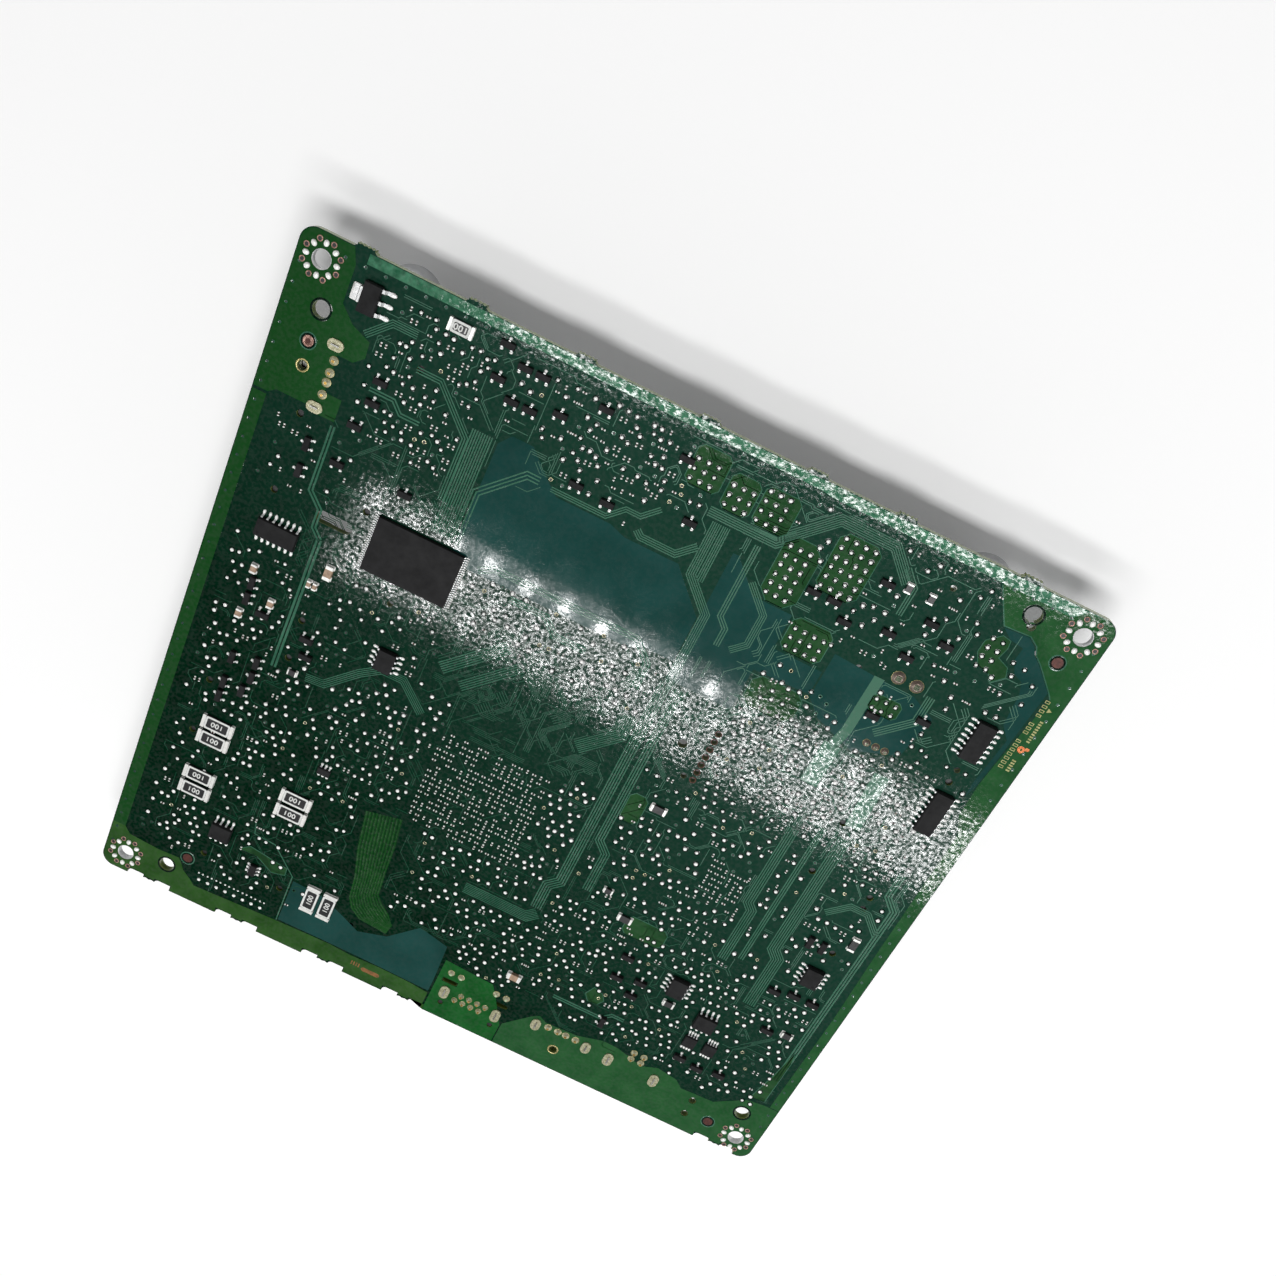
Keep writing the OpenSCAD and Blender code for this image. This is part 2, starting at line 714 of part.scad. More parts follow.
regulator_band = 1;
regulator_t = 0.28;
regulator_reach = 1.75;
regulator_pitch = 2.3;

module voltage_regulator()
    color("darkslategray")
        on_top(regulator_at)
            moulded_body(regulator_l, regulator_w, regulator_h, regulator_band, regulator_t);

// Three narrow leads on one side and the wide heat tab on the other
module voltage_regulator_leads()
    color("silver")
        on_top(regulator_at) {
            lead_row(1, 1, regulator_w / 2, regulator_reach, 3, regulator_band, regulator_t);
            rotate([0, 0, 180])
                lead_row(3, regulator_pitch, regulator_w / 2, regulator_reach, 0.7,
                    regulator_band, regulator_t);
        }

sense_cap = 0.75;

module sense_resistors()
    color("black") {
        for (at = sense_at)
            on_top(at) chip_body(sense_l, sense_w, sense_h, sense_cap);
        on_top(bleed_at) chip_body(bleed_l, bleed_w, sense_h, 0.6);
    }

module sense_resistor_ends()
    color("gainsboro") {
        for (at = sense_at)
            on_top(at) chip_ends(sense_l, sense_w, sense_h, sense_cap);
        on_top(bleed_at) chip_ends(bleed_l, bleed_w, sense_h, 0.6);
    }

sot_reach = 0.55;
sot_band = 0.55;
sot_t = 0.12;
sot_lead_w = 0.42;
sot_pitch = 1.9;

module transistors()
    color("black")
        for (at = transistors)
            on_top(at) moulded_body(sot_l, sot_w, sot_h, sot_band, sot_t, 0.05, 0.08);

// One lead on the far side and two on the near side of each transistor
module transistor_leads()
    color("silver")
        for (at = transistors)
            on_top(at) {
                lead_row(1, 1, sot_w / 2, sot_reach, sot_lead_w, sot_band, sot_t);
                rotate([0, 0, 180])
                    lead_row(2, sot_pitch, sot_w / 2, sot_reach, sot_lead_w, sot_band, sot_t);
            }

module ceramic_capacitors()
    color("tan")
        for (c = ceramics)
            on_top(c) chip_body(c[3], c[4], ceramic_h, 0.22 * c[3]);

module ceramic_capacitor_ends()
    color("gainsboro")
        for (c = ceramics)
            on_top(c) chip_ends(c[3], c[4], ceramic_h, 0.22 * c[3]);

module diodes()
    color("black")
        for (c = diodes)
            on_top(c) chip_body(c[3], c[4], diode_h, 0.15 * c[3]);

module diode_ends()
    color("gainsboro")
        for (c = diodes)
            on_top(c) chip_ends(c[3], c[4], diode_h, 0.15 * c[3]);

// ---------------------------------------------------------------- processors and memory

// A ball-grid package: a thin laminate with a moulded cap on it
module ball_package(l, w, h, margin) {
    block(l, w, ball_h, ball_h + laminate_h);
    translate([0, 0, ball_h + laminate_h - eps])
        intersection() {
            along_x(l - 2 * margin) polygon([[-w / 2 + margin, 0], [w / 2 - margin, 0],
                [w / 2 - margin - 0.4, h - laminate_h + eps], [-w / 2 + margin + 0.4, h - laminate_h + eps]]);
            along_y(w - 2 * margin) polygon([[-l / 2 + margin, 0], [l / 2 - margin, 0],
                [l / 2 - margin - 0.4, h - laminate_h + eps], [-l / 2 + margin + 0.4, h - laminate_h + eps]]);
        }
}

// Is this ball in the outer rings, or in the middle block?
function has_ball(i, j, n, m, rings, core) =
    min(i, j, n - 1 - i, m - 1 - j) < rings
        || max(abs(i - (n - 1) / 2), abs(j - (m - 1) / 2)) <= core;

// A grid of solder balls with an empty band between its rings and its middle
module ball_grid(l, w, pitch, rings, core) {
    n = floor((l - 1) / pitch) + 1;
    m = floor((w - 1) / pitch) + 1;
    for (i = [0:n - 1])
        for (j = [0:m - 1])
            if (has_ball(i, j, n, m, rings, core))
                translate([(i - (n - 1) / 2) * pitch, (j - (m - 1) / 2) * pitch, 0])
                    cylinder(d = ball_d, h = ball_h);
}

module main_processor()
    color("darkslategray")
        under(processor_at) ball_package(processor_w, processor_w, processor_h, 1.2);

module memory_chips()
    color("darkslategray")
        for (at = memory_at)
            under(at) ball_package(memory_l, memory_w, memory_h, 0.3);

module servo_processor()
    color("darkslategray")
        under(servo_at) ball_package(servo_w, servo_w, servo_h, 0.5);

module solder_balls()
    color("lightgray") {
        under(processor_at) ball_grid(processor_w, processor_w, 1.5, 3, 2);
        for (at = memory_at)
            under(at) ball_grid(memory_l, memory_w, 1.6, 1, 0);
        under(servo_at) ball_grid(servo_w, servo_w, 1.5, 1, 1);
    }

sink_w = processor_w - 1;
processor_top = ball_h + processor_h;

module thermal_tape()
    color("lightblue")
        under(processor_at)
            block(processor_w - 4, processor_w - 4, processor_top, processor_top + tape_t);

// An extruded heat sink: a base with a row of upright fins, cross-cut into three blocks
module heat_sink() {
    base = processor_top + tape_t;
    fin_pitch = (sink_w - fin_t) / (fin_count - 1);
    color("dimgray")
        under(processor_at)
            difference() {
                union() {
                    block(sink_w, sink_w, base, base + sink_base_h);
                    for (i = [0:fin_count - 1])
                        translate([-sink_w / 2 + fin_t / 2 + i * fin_pitch, 0, 0])
                            block(fin_t, sink_w, base + sink_base_h - eps, base + sink_h);
                }
                for (side = [-1, 1])
                    translate([0, side * sink_w / 6, 0])
                        block(sink_w + 1, sink_cut, base + sink_base_h, base + sink_h + 1);
            }
}

module network_chip()
    color("darkslategray")
        under(network_chip_at)
            moulded_body(network_chip_w, network_chip_w, network_chip_h, 0.8, 0.15, dimple = 0.8);

module network_chip_leads()
    color("silver")
        under(network_chip_at)
            for (turn = [0, 90])
                rotate([0, 0, turn])
                    lead_rows(12, network_pitch, network_chip_w / 2, 1, 0.22, 0.8, 0.15);

// ---------------------------------------------------------------- power parts

module motor_drivers()
    color("darkslategray")
        for (at = drivers)
            under(at) moulded_body(driver_l, driver_w, driver_h, 1.3, dimple = 1.2);

module motor_driver_leads()
    color("silver")
        for (at = drivers)
            under(at) lead_rows(driver_pins / 2, 1.27, driver_w / 2, 1.4, 0.42, 1.3);

dpak_l = 6.5;
dpak_w = 6.1;
dpak_h = 2.3;
dpak_tab_t = 0.5;
dpak_tab_l = 5.3;
dpak_tab_w = 5.4;
dpak_tab_out = 1.4;
dpak_pitch = 4.6;
dpak_reach = 2.4;
dpak_band = 1.2;
dpak_lead_w = 0.76;

// A power transistor stands on its metal tab, which reaches out past the body
module power_transistors()
    color("black")
        for (at = power_transistors)
            under(at)
                block(dpak_l, dpak_w, dpak_tab_t, dpak_h);

module power_transistor_leads()
    color("silver")
        for (at = power_transistors)
            under(at) {
                translate([0, dpak_tab_out, 0]) block(dpak_tab_l, dpak_tab_w, 0, dpak_tab_t);
                rotate([0, 0, 180])
                    lead_row(2, dpak_pitch, dpak_w / 2, dpak_reach, dpak_lead_w,
                        dpak_band, dpak_tab_t);
            }

// A shielded inductor: a square ferrite with cut corners and a sunk round middle
module power_inductors()
    color("dimgray")
        for (at = inductors)
            under(at)
                difference() {
                    translate([0, 0, 0.3])
                        linear_extrude(inductor_h - 0.3)
                            intersection() {
                                square(inductor_w, center = true);
                                circle(d = 1.25 * inductor_w);
                            }
                    translate([0, 0, inductor_h - 0.4])
                        difference() {
                            cylinder(d = 0.82 * inductor_w, h = 1);
                            cylinder(d = 0.7 * inductor_w, h = 1);
                        }
                }

module power_inductor_ends()
    color("silver")
        for (at = inductors)
            under(at)
                for (side = [-1, 1])
                    translate([side * 0.36 * inductor_w, 0, 0])
                        block(0.28 * inductor_w, 0.32 * inductor_w, 0, 0.3);

cap_lead_t = 0.3;
cap_base_h = 1.8;
can_bevel = 0.5;
can_foot = 0.4;
crimp = 0.5;
crimp_at = 1.1;

// The turned outline of an aluminium can: rolled foot, crimped groove and rounded top edge
module can(d, h)
    rotate_extrude()
        let (low = cap_base_h + crimp_at)
            polygon([[0, cap_base_h], [d / 2 - can_foot, cap_base_h], [d / 2, cap_base_h + can_foot],
                [d / 2, low], [d / 2 - crimp, low + crimp], [d / 2 - crimp, low + 1.5 * crimp],
                [d / 2, low + 2.5 * crimp], [d / 2, h - can_bevel], [d / 2 - can_bevel, h], [0, h]]);

module capacitor_cans()
    color("silver") {
        for (at = bulk_at)
            under(at) can(bulk_d, bulk_h);
        for (at = small_cap_at)
            under(at) can(small_cap_d, small_cap_h);
    }

// A square plastic base with two cut corners that mark the positive side
module can_base(d) {
    side = d + 0.4;
    cut = 0.16 * d;
    translate([0, 0, cap_lead_t])
        linear_extrude(cap_base_h - cap_lead_t)
            polygon([[-side / 2, -side / 2], [side / 2 - cut, -side / 2],
                [side / 2, -side / 2 + cut], [side / 2, side / 2 - cut],
                [side / 2 - cut, side / 2], [-side / 2, side / 2]]);
}

module capacitor_bases()
    color("black") {
        for (at = bulk_at)
            under(at) can_base(bulk_d);
        for (at = small_cap_at)
            under(at) can_base(small_cap_d);
    }

// Two flat leads that run out from under the base
module can_leads(d)
    for (side = [-1, 1])
        translate([side * (d / 2 - 0.6), 0, 0]) block(d / 2, 0.9, 0, cap_lead_t);

module capacitor_leads()
    color("silver") {
        for (at = bulk_at)
            under(at) can_leads(bulk_d);
        for (at = small_cap_at)
            under(at) can_leads(small_cap_d);
    }

crystal_h = 0.7;

module crystal_bases()
    color("tan")
        for (at = crystals)
            under(at) block(crystal_l, crystal_w, 0, crystal_h);

module crystal_lids()
    color("silver")
        for (at = crystals)
            under(at)
                translate([0, 0, crystal_h])
                    linear_extrude(0.4) rounded_rect(crystal_l - 0.6, crystal_w - 0.6, 0.5);

// Rows of small capacitors along the four sides of a package
module round_package(w, count)
    for (turn = [0:90:270])
        rotate([0, 0, turn])
            for (i = [0:count - 1])
                translate([(i - (count - 1) / 2) * (w / count), w / 2 + chip_row_gap, 0])
                    children();

module decoupling_places() {
    under(processor_at) round_package(processor_w, 9) children();
    under(servo_at) round_package(servo_w, 4) children();
    for (at = drivers)
        under(at)
            for (side = [-1, 1])
                translate([side * (driver_l / 2 + 1), 0, 0]) rotate([0, 0, 90]) children();
}

module decoupling_capacitors()
    color("tan") decoupling_places() chip_body(chip_l, chip_w, chip_h, 0.35);

module decoupling_capacitor_ends()
    color("gainsboro") decoupling_places() chip_ends(chip_l, chip_w, chip_h, 0.35);

// ---------------------------------------------------------------- ribbon and wire connectors

// A plastic peg that locates a connector in the card
module peg(lift)
    translate([0, 0, -board_t + peg_recess])
        cylinder(d = peg_d, h = board_t - peg_recess + lift + eps);

ribbon_lift = 0.25;
ribbon_contact_w = 0.4;
ribbon_blade_t = 0.35;
ribbon_foot = 1;
ribbon_wall = 0.7;
ribbon_ear_in = 0.5;
ribbon_ear_drop = 2.2;
ribbon_mouth = 0.9;

// An upright ribbon connector: a long slot with a bevelled mouth, between two ears with pegs
module ribbon_housing(ways) {
    span = (ways - 1) * ribbon_pitch;
    slot_l = span + 2 * ribbon_pitch;
    half_l = ribbon_half(ways);
    difference() {
        union() {
            block(slot_l + 2 * ribbon_wall, ribbon_w, ribbon_lift, ribbon_h);
            block(2 * half_l, ribbon_w - 2 * ribbon_ear_in, ribbon_lift, ribbon_h - ribbon_ear_drop);
        }
        block(slot_l, ribbon_slot, -1, ribbon_h + 1);
        along_x(slot_l)
            polygon([[-ribbon_slot / 2, ribbon_h - ribbon_mouth],
                [-ribbon_slot / 2 - ribbon_mouth, ribbon_h + eps],
                [ribbon_slot / 2 + ribbon_mouth, ribbon_h + eps],
                [ribbon_slot / 2, ribbon_h - ribbon_mouth]]);
    }
    for (side = [-1, 1])
        translate([side * ribbon_peg_x(ways), 0, 0]) peg(ribbon_lift);
}

module ribbon_connectors()
    color("ivory")
        for (c = ribbons)
            under(c[0]) ribbon_housing(c[1]);

// Each contact is a foot on the card and a blade that stands against one wall of the slot
module ribbon_contacts()
    color("gold")
        for (c = ribbons)
            under(c[0])
                for (i = [0:c[1] - 1])
                    translate([(i - (c[1] - 1) / 2) * ribbon_pitch, 0, 0])
                        along_x(ribbon_contact_w)
                            polygon([[-ribbon_w / 2 - ribbon_foot, 0], [ribbon_slot / 2 - 0.55, 0],
                                [ribbon_slot / 2 - 0.55, ribbon_lift],
                                [-ribbon_slot / 2 + ribbon_blade_t, ribbon_lift],
                                [-ribbon_slot / 2 + ribbon_blade_t, ribbon_h - 1.6],
                                [-ribbon_slot / 2, ribbon_h - 1.2], [-ribbon_slot / 2, ribbon_lift],
                                [-ribbon_w / 2 - ribbon_foot, ribbon_lift]]);

header_lift = 0.25;

// A wire header: an open box with two keying slots in one long wall
module header_housing(ways, pegs, lift) {
    span = (ways - 1) * header_pitch;
    cavity_l = span + 2.4;
    half_l = pegs ? header_half(ways) : span / 2 + header_pitch;
    difference() {
        block(2 * half_l, header_w, lift, header_h);
        block(cavity_l, header_w - 2 * header_wall, header_floor + lift, header_h + 1);
        for (side = [-1, 1])
            translate([side * (cavity_l / 2 - 1.2), header_w / 2, 0])
                block(1, 2 * header_wall + 0.5, header_floor + lift + 1.2, header_h + 1);
        for (i = [0:ways - 1])
            translate([(i - (ways - 1) / 2) * header_pitch, 0, 0]) block(pin_w, pin_w, -1, 3);
    }
    if (pegs)
        for (side = [-1, 1])
            translate([side * header_peg_x(ways), 0, 0]) peg(lift);
}

module wire_headers()
    color("ivory") {
        for (c = headers)
            under(c[0]) header_housing(c[1], true, header_lift);
        under(through_header) header_housing(through_ways, false, 0);
    }

// Surface pins have a foot that runs out under the housing; the others go through the card
module wire_header_pins()
    color("silver") {
        for (c = headers)
            under(c[0])
                for (i = [0:c[1] - 1])
                    translate([(i - (c[1] - 1) / 2) * header_pitch, 0, 0]) {
                        block(pin_w, pin_w, 0, header_h - 1.4);
                        translate([0, -header_w / 4 - 0.5, 0])
                            block(pin_w, header_w / 2 + 1, 0, header_lift);
                    }
        under(through_header)
            for (i = [0:through_ways - 1])
                translate([(i - (through_ways - 1) / 2) * header_pitch, 0, 0])
                    block(pin_w, pin_w, -board_t - pin_out, header_h - 1.4);
    }

// The power header's base with a tall back wall and its locking lip
module power_header()
    color("ivory")
        under(power_at)
            difference() {
                union() {
                    block(power_l, power_w, 0, power_base_h);
                    translate([0, power_w / 2 - 0.8, 0]) block(power_l, 1.6, 0, power_h);
                    translate([0, power_w / 2 - 1.6 - 0.5 + eps, 0])
                        block(power_l / 2, 1, power_h - 1.6, power_h);
                }
                for (side = [-1, 1])
                    translate([side * power_pitch / 2, 0, 0])
                        block(power_pin_w, power_pin_w, -1, power_base_h + 1);
            }

module power_header_pins()
    color("silver")
        under(power_at)
            for (side = [-1, 1])
                translate([side * power_pitch / 2, 0, 0])
                    block(power_pin_w, power_pin_w, -board_t - pin_out, power_h - 0.8);

// ---------------------------------------------------------------- network jack

// Contact wires alternate between two rows of holes
function jack_contact_x(i) = (i - (jack_contacts - 1) / 2) * jack_contact_pitch;
function jack_row(i) = i % 2 == 0 ? jack_row_front : jack_row_rear;

jack_in_w = jack_w - 2 * shell_t;
jack_in_h = jack_h - shell_t;
jack_back = jack_d - shell_t;
insert_w = jack_contacts * jack_contact_pitch + 0.6;
insert_back = jack_row_rear + 1;
latch_w = 6.2;
latch_h = 1.5;
latch_tip_w = 3.6;
lamp_z = jack_in_h - 0.5 - jack_lamp_h;

// A block that reaches back from the jack's face: from y = -back to y = -front
module reach_block(w, front, back, z0, z1)
    translate([-w / 2, -back, z0]) cube([w, back - front, z1 - z0]);

// The plug's opening: the plug's body, the latch's step and its tip
module plug_opening() {
    reach_block(plug_w, -1, plug_d, jack_floor, jack_floor + plug_h);
    reach_block(latch_w, -1, plug_d, jack_floor + plug_h - eps, jack_floor + plug_h + latch_h);
    reach_block(latch_tip_w, -1, plug_d - 4, jack_floor + plug_h,
        jack_floor + plug_h + latch_h + 0.9);
}

// The moulded housing, with room for the insert, the lamps and their legs
module network_jack_housing()
    color("black")
        under(jack_at) {
            difference() {
                reach_block(jack_in_w, shell_t, jack_back, jack_lift, jack_in_h);
                plug_opening();
                reach_block(insert_w + 2 * fit_gap, 1.4, insert_back + fit_gap, -1, jack_floor + eps);
                for (side = [-1, 1])
                    translate([side * jack_lamp_x, 0, 0]) {
                        reach_block(jack_lamp_w + 2 * fit_gap, -1, jack_d + 1,
                            lamp_z - fit_gap, jack_in_h + 1);
                        reach_block(jack_lamp_w + 2 * fit_gap, jack_lamp_back - 0.5, jack_d + 1,
                            -1, jack_in_h + 1);
                    }
            }
            for (side = [-1, 1])
                translate([side * jack_peg_x, -jack_peg_back, -board_t + 0.2])
                    cylinder(d = jack_peg_d, h = board_t - 0.2 + jack_lift + eps);
        }

contact_w = 0.45;
contact_t = 0.3;
contact_low = 1.2;

// The insert that spaces the contact wires, with one open channel for each
module network_jack_insert()
    color("dimgray")
        under(jack_at)
            difference() {
                reach_block(insert_w, 1.4 + fit_gap, insert_back, jack_lift, jack_floor);
                for (i = [0:jack_contacts - 1])
                    translate([jack_contact_x(i), 0, 0]) {
                        reach_block(contact_w + fit_gap, 2, jack_row(i) + pin_w / 2 + fit_gap,
                            contact_low, jack_floor + 1);
                        reach_block(pin_w + fit_gap, jack_row(i) - pin_w / 2 - fit_gap,
                            jack_row(i) + pin_w / 2 + fit_gap, -1, jack_floor + 1);
                    }
            }

// A contact wire: a pin through the card, a run forward and a spring that slants back up
module network_jack_contacts()
    color("gold")
        under(jack_at)
            for (i = [0:jack_contacts - 1])
                translate([jack_contact_x(i), 0, 0]) {
                    reach_block(pin_w, jack_row(i) - pin_w / 2, jack_row(i) + pin_w / 2,
                        -board_t - pin_out, contact_low + contact_t);
                    along_x(contact_w)
                        polygon([[-jack_row(i), contact_low], [-2.3, contact_low],
                            [-2.1, contact_low + 0.4], [-8.8, contact_low + 4.4],
                            [-9, contact_low + 4.1], [-2.9, contact_low + contact_t],
                            [-jack_row(i), contact_low + contact_t]]);
                }

// Two indicator lamps with their light bars and legs
module network_jack_lamps()
    color("palegreen")
        under(jack_at)
            for (side = [-1, 1])
                translate([side * jack_lamp_x, 0, 0]) {
                    reach_block(jack_lamp_w, shell_t, jack_lamp_back + 0.35,
                        lamp_z, lamp_z + jack_lamp_h);
                    for (leg = [-1, 1])
                        translate([leg * jack_lamp_legs / 2, 0, 0])
                            reach_block(pin_w, jack_lamp_back - pin_w / 2,
                                jack_lamp_back + pin_w / 2, -board_t - pin_out, lamp_z + eps);
                }

// The shield: a folded box that is open towards the card, with side springs and soldered legs
module network_jack_shield()
    color("silver")
        under(jack_at) {
            difference() {
                reach_block(jack_w, 0, jack_d, 0.1, jack_h);
                reach_block(jack_in_w, shell_t, jack_back, -1, jack_in_h);
                reach_block(jack_w - 1.6, -1, 1, jack_floor - 0.8, jack_in_h - 0.4);
                for (side = [-1, 1])
                    for (z = [4.2, 8.6])
                        translate([side * jack_w / 2, -5, z]) cube([2, 5.2, 2.2], center = true);
            }
            for (side = [-1, 1]) {
                mirror([side < 0 ? 1 : 0, 0, 0]) {
                    for (z = [4.2, 8.6])
                        translate([jack_w / 2, 0, z])
                            linear_extrude(1.5, center = true)
                                polygon([[-shell_t, -2.3], [0, -2.3], [0.45, -4.6], [0, -6.8],
                                    [-shell_t, -6.8], [0.45 - shell_t, -4.6]]);
                    translate([(jack_w / 2 + jack_leg_x - shell_t / 2) / 2, -jack_leg_back, 0])
                        block(jack_w / 2 - jack_leg_x + shell_t / 2, jack_leg_w, 0.1, 0.1 + shell_t);
                    translate([jack_leg_x, -jack_leg_back, 0])
                        block(shell_t, jack_leg_w, -board_t - pin_out, 0.1 + shell_t);
                }
            }
        }

// ---------------------------------------------------------------- USB host ports

// A folded shell with legs, a flared mouth and spring tongues cut into its outer wall
module host_shell() {
    in_w = host_w - 2 * shell_t;
    z0 = host_lift;
    z1 = host_lift + host_h;
    difference() {
        reach_block(host_w, 0, host_d, z0, z1);
        reach_block(in_w, -1, host_d - shell_t, z0 + shell_t, z1 - shell_t);
        reach_block(in_w - 2, host_pin_back - 1.2, host_d + 1, z0 - 1, z0 + shell_t + eps);
        for (side = [-1, 1])
            translate([side * 2.6, 0, 0])
                difference() {
                    reach_block(2.6, 2.4, 8.4, z1 - shell_t - eps, z1 + 1);
                    reach_block(1.8, 2, 8, z1 - shell_t - 1, z1 + 2);
                }
    }
    for (side = [-1, 1]) {
        translate([side * (host_w - shell_t) / 2, -host_leg_back, 0])
            block(shell_t, host_leg_w, -board_t - pin_out, z0 + eps);
        translate([side * (host_w + host_flare) / 2, -shell_t / 2, 0])
            block(host_flare + eps, shell_t, z0 + 2 * shell_t, z1 - 2 * shell_t);
    }
}

module usb_host_shell_front()
    color("silver") under(host_front_at) host_shell();

module usb_host_shell_side()
    color("silver") under(host_side_at) host_shell();

host_tongue_z = host_lift + host_h - shell_t - 0.7 - host_tongue_t;
host_contact_t = 0.2;

// The plastic back block and the tongue that a plug slides over
module host_tongue() {
    in_w = host_w - 2 * shell_t;
    reach_block(in_w - fit_gap, host_pin_back + pin_w / 2 + fit_gap, host_d - shell_t,
        host_lift + shell_t, host_lift + host_h - shell_t);
    reach_block(host_tongue_w, 1.5, host_pin_back + pin_w / 2 + fit_gap + eps,
        host_tongue_z, host_tongue_z + host_tongue_t);
}

module usb_host_tongues()
    color("white") {
        under(host_front_at) host_tongue();
        under(host_side_at) host_tongue();
    }

// A flat contact on the tongue's inner face, turned down at the back into its pin
module host_contacts()
    for (x = host_pin_x)
        translate([x, 0, 0]) {
            reach_block(1, 1.9, host_pin_back + pin_w / 2,
                host_tongue_z - host_contact_t, host_tongue_z);
            reach_block(pin_w, host_pin_back - pin_w / 2, host_pin_back + pin_w / 2,
                -board_t - pin_out, host_tongue_z - host_contact_t + eps);
        }

module usb_host_contacts()
    color("gold") {
        under(host_front_at) host_contacts();
        under(host_side_at) host_contacts();
    }

// ---------------------------------------------------------------- USB device port

device_mid = device_h / 2;

// The mouth's outline: a square with its two outer corners cut off
module device_mouth(w, h, cut)
    polygon([[-w / 2, -h / 2], [w / 2, -h / 2], [w / 2, h / 2 - cut],
        [w / 2 - cut, h / 2], [-w / 2 + cut, h / 2], [-w / 2, h / 2 - cut]]);

// The shell: a folded box with a window in its face, open towards the card behind the legs
module usb_device_shell()
    color("silver")
        under(device_at) {
            difference() {
                reach_block(device_w, 0, device_d, 0, device_h);
                reach_block(device_w - 2 * shell_t, shell_t, device_d - shell_t,
                    -1, device_h - shell_t);
                translate([0, 0, device_mid])
                    along_y(4 * shell_t) device_mouth(device_mouth_w + 0.8, device_mouth_h + 0.8, 1.9);
            }
            for (side = [-1, 1])
                translate([side * (device_w - shell_t) / 2, -device_leg_back, 0])
                    block(shell_t, device_leg_w, -board_t - pin_out, eps);
        }

device_leg_slot = pin_w + 2 * fit_gap;

// The housing: a block with the mouth's cavity and the tongue standing in it
module usb_device_housing()
    color("white")
        under(device_at)
            difference() {
                reach_block(device_w - 2 * shell_t, shell_t, device_d - shell_t,
                    0, device_h - shell_t);
                difference() {
                    translate([0, 0, device_mid])
                        along_y(2 * device_mouth_d)
                            device_mouth(device_mouth_w, device_mouth_h, 1.6);
                    translate([0, 0, device_mid])
                        reach_block(device_tongue_w, 1.5, device_mouth_d + 1,
                            -device_tongue_h / 2, device_tongue_h / 2);
                }
                for (x = device_pin_x)
                    for (row = [0, 1])
                        translate([x, 0, 0]) {
                            reach_block(device_leg_slot, device_pin_back[row] - device_leg_slot / 2,
                                device_pin_back[row] + device_leg_slot / 2, -1, device_row_z(row) + 0.4);
                            reach_block(device_leg_slot, 2, device_pin_back[row] + device_leg_slot / 2,
                                device_row_z(row) - fit_gap, device_row_z(row) + 0.4);
                        }
            }

// The front row of pins serves the tongue's near face, and the rear row its far face
function device_row_z(row) = device_mid + (row == 0 ? -1 : 1) * device_tongue_h / 2
    + (row == 0 ? 0 : -0.3);

module usb_device_contacts()
    color("gold")
        under(device_at)
            for (x = device_pin_x)
                for (row = [0, 1])
                    translate([x, 0, 0]) {
                        reach_block(pin_w, 2, device_pin_back[row] + pin_w / 2,
                            device_row_z(row), device_row_z(row) + 0.3);
                        reach_block(pin_w, device_pin_back[row] - pin_w / 2,
                            device_pin_back[row] + pin_w / 2, -board_t - pin_out,
                            device_row_z(row) + eps);
                    }

// ---------------------------------------------------------------- the whole board

circuit_board();
pin_solder();
flash_memory();
flash_memory_leads();
logic_chips();
logic_chip_leads();
small_chips();
small_chip_leads();
micro_chips();
micro_chip_leads();
voltage_regulator();
voltage_regulator_leads();
sense_resistors();
sense_resistor_ends();
transistors();
transistor_leads();
ceramic_capacitors();
ceramic_capacitor_ends();
diodes();
diode_ends();
main_processor();
solder_balls();
thermal_tape();
heat_sink();
memory_chips();
servo_processor();
network_chip();
network_chip_leads();
motor_drivers();
motor_driver_leads();
power_transistors();
power_transistor_leads();
power_inductors();
power_inductor_ends();
capacitor_cans();
capacitor_bases();
capacitor_leads();
crystal_bases();
crystal_lids();
decoupling_capacitors();
decoupling_capacitor_ends();
ribbon_connectors();
ribbon_contacts();
wire_headers();
wire_header_pins();
power_header();
power_header_pins();
network_jack_housing();
network_jack_insert();
network_jack_contacts();
network_jack_lamps();
network_jack_shield();
usb_host_shell_front();
usb_host_shell_side();
usb_host_tongues();
usb_host_contacts();
usb_device_shell();
usb_device_housing();
usb_device_contacts();
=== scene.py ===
# %% [markdown]
# # A printer main board, soldered side up
# The card comes from its maker as a laminate with copper on both faces, a green mask over the copper,
# and solder wherever the mask is open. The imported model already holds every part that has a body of
# its own. This lesson adds what is thinner than a fingernail: copper under the mask, solder domes,
# pads and print. Then it gives every part its finish.
# The frame is loaded first, because every piece takes its place from it.

# %% Load the fixed frame
import math
import random

import bpy
from mathutils import Matrix, Vector
from mathutils.geometry import tessellate_polygon


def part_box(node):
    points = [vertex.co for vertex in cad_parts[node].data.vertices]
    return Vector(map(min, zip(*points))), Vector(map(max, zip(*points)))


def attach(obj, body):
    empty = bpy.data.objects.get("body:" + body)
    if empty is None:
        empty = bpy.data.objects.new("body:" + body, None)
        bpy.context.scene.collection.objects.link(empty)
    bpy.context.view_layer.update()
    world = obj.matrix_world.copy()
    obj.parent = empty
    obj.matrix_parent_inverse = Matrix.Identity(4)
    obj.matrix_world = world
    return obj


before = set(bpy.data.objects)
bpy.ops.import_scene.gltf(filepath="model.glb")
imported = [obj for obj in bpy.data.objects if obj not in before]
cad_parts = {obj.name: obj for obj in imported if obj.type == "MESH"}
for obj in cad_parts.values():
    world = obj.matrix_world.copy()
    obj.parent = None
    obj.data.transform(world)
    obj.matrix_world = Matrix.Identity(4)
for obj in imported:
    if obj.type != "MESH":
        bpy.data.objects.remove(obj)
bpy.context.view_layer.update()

print("frame:", len(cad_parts), "nodes")

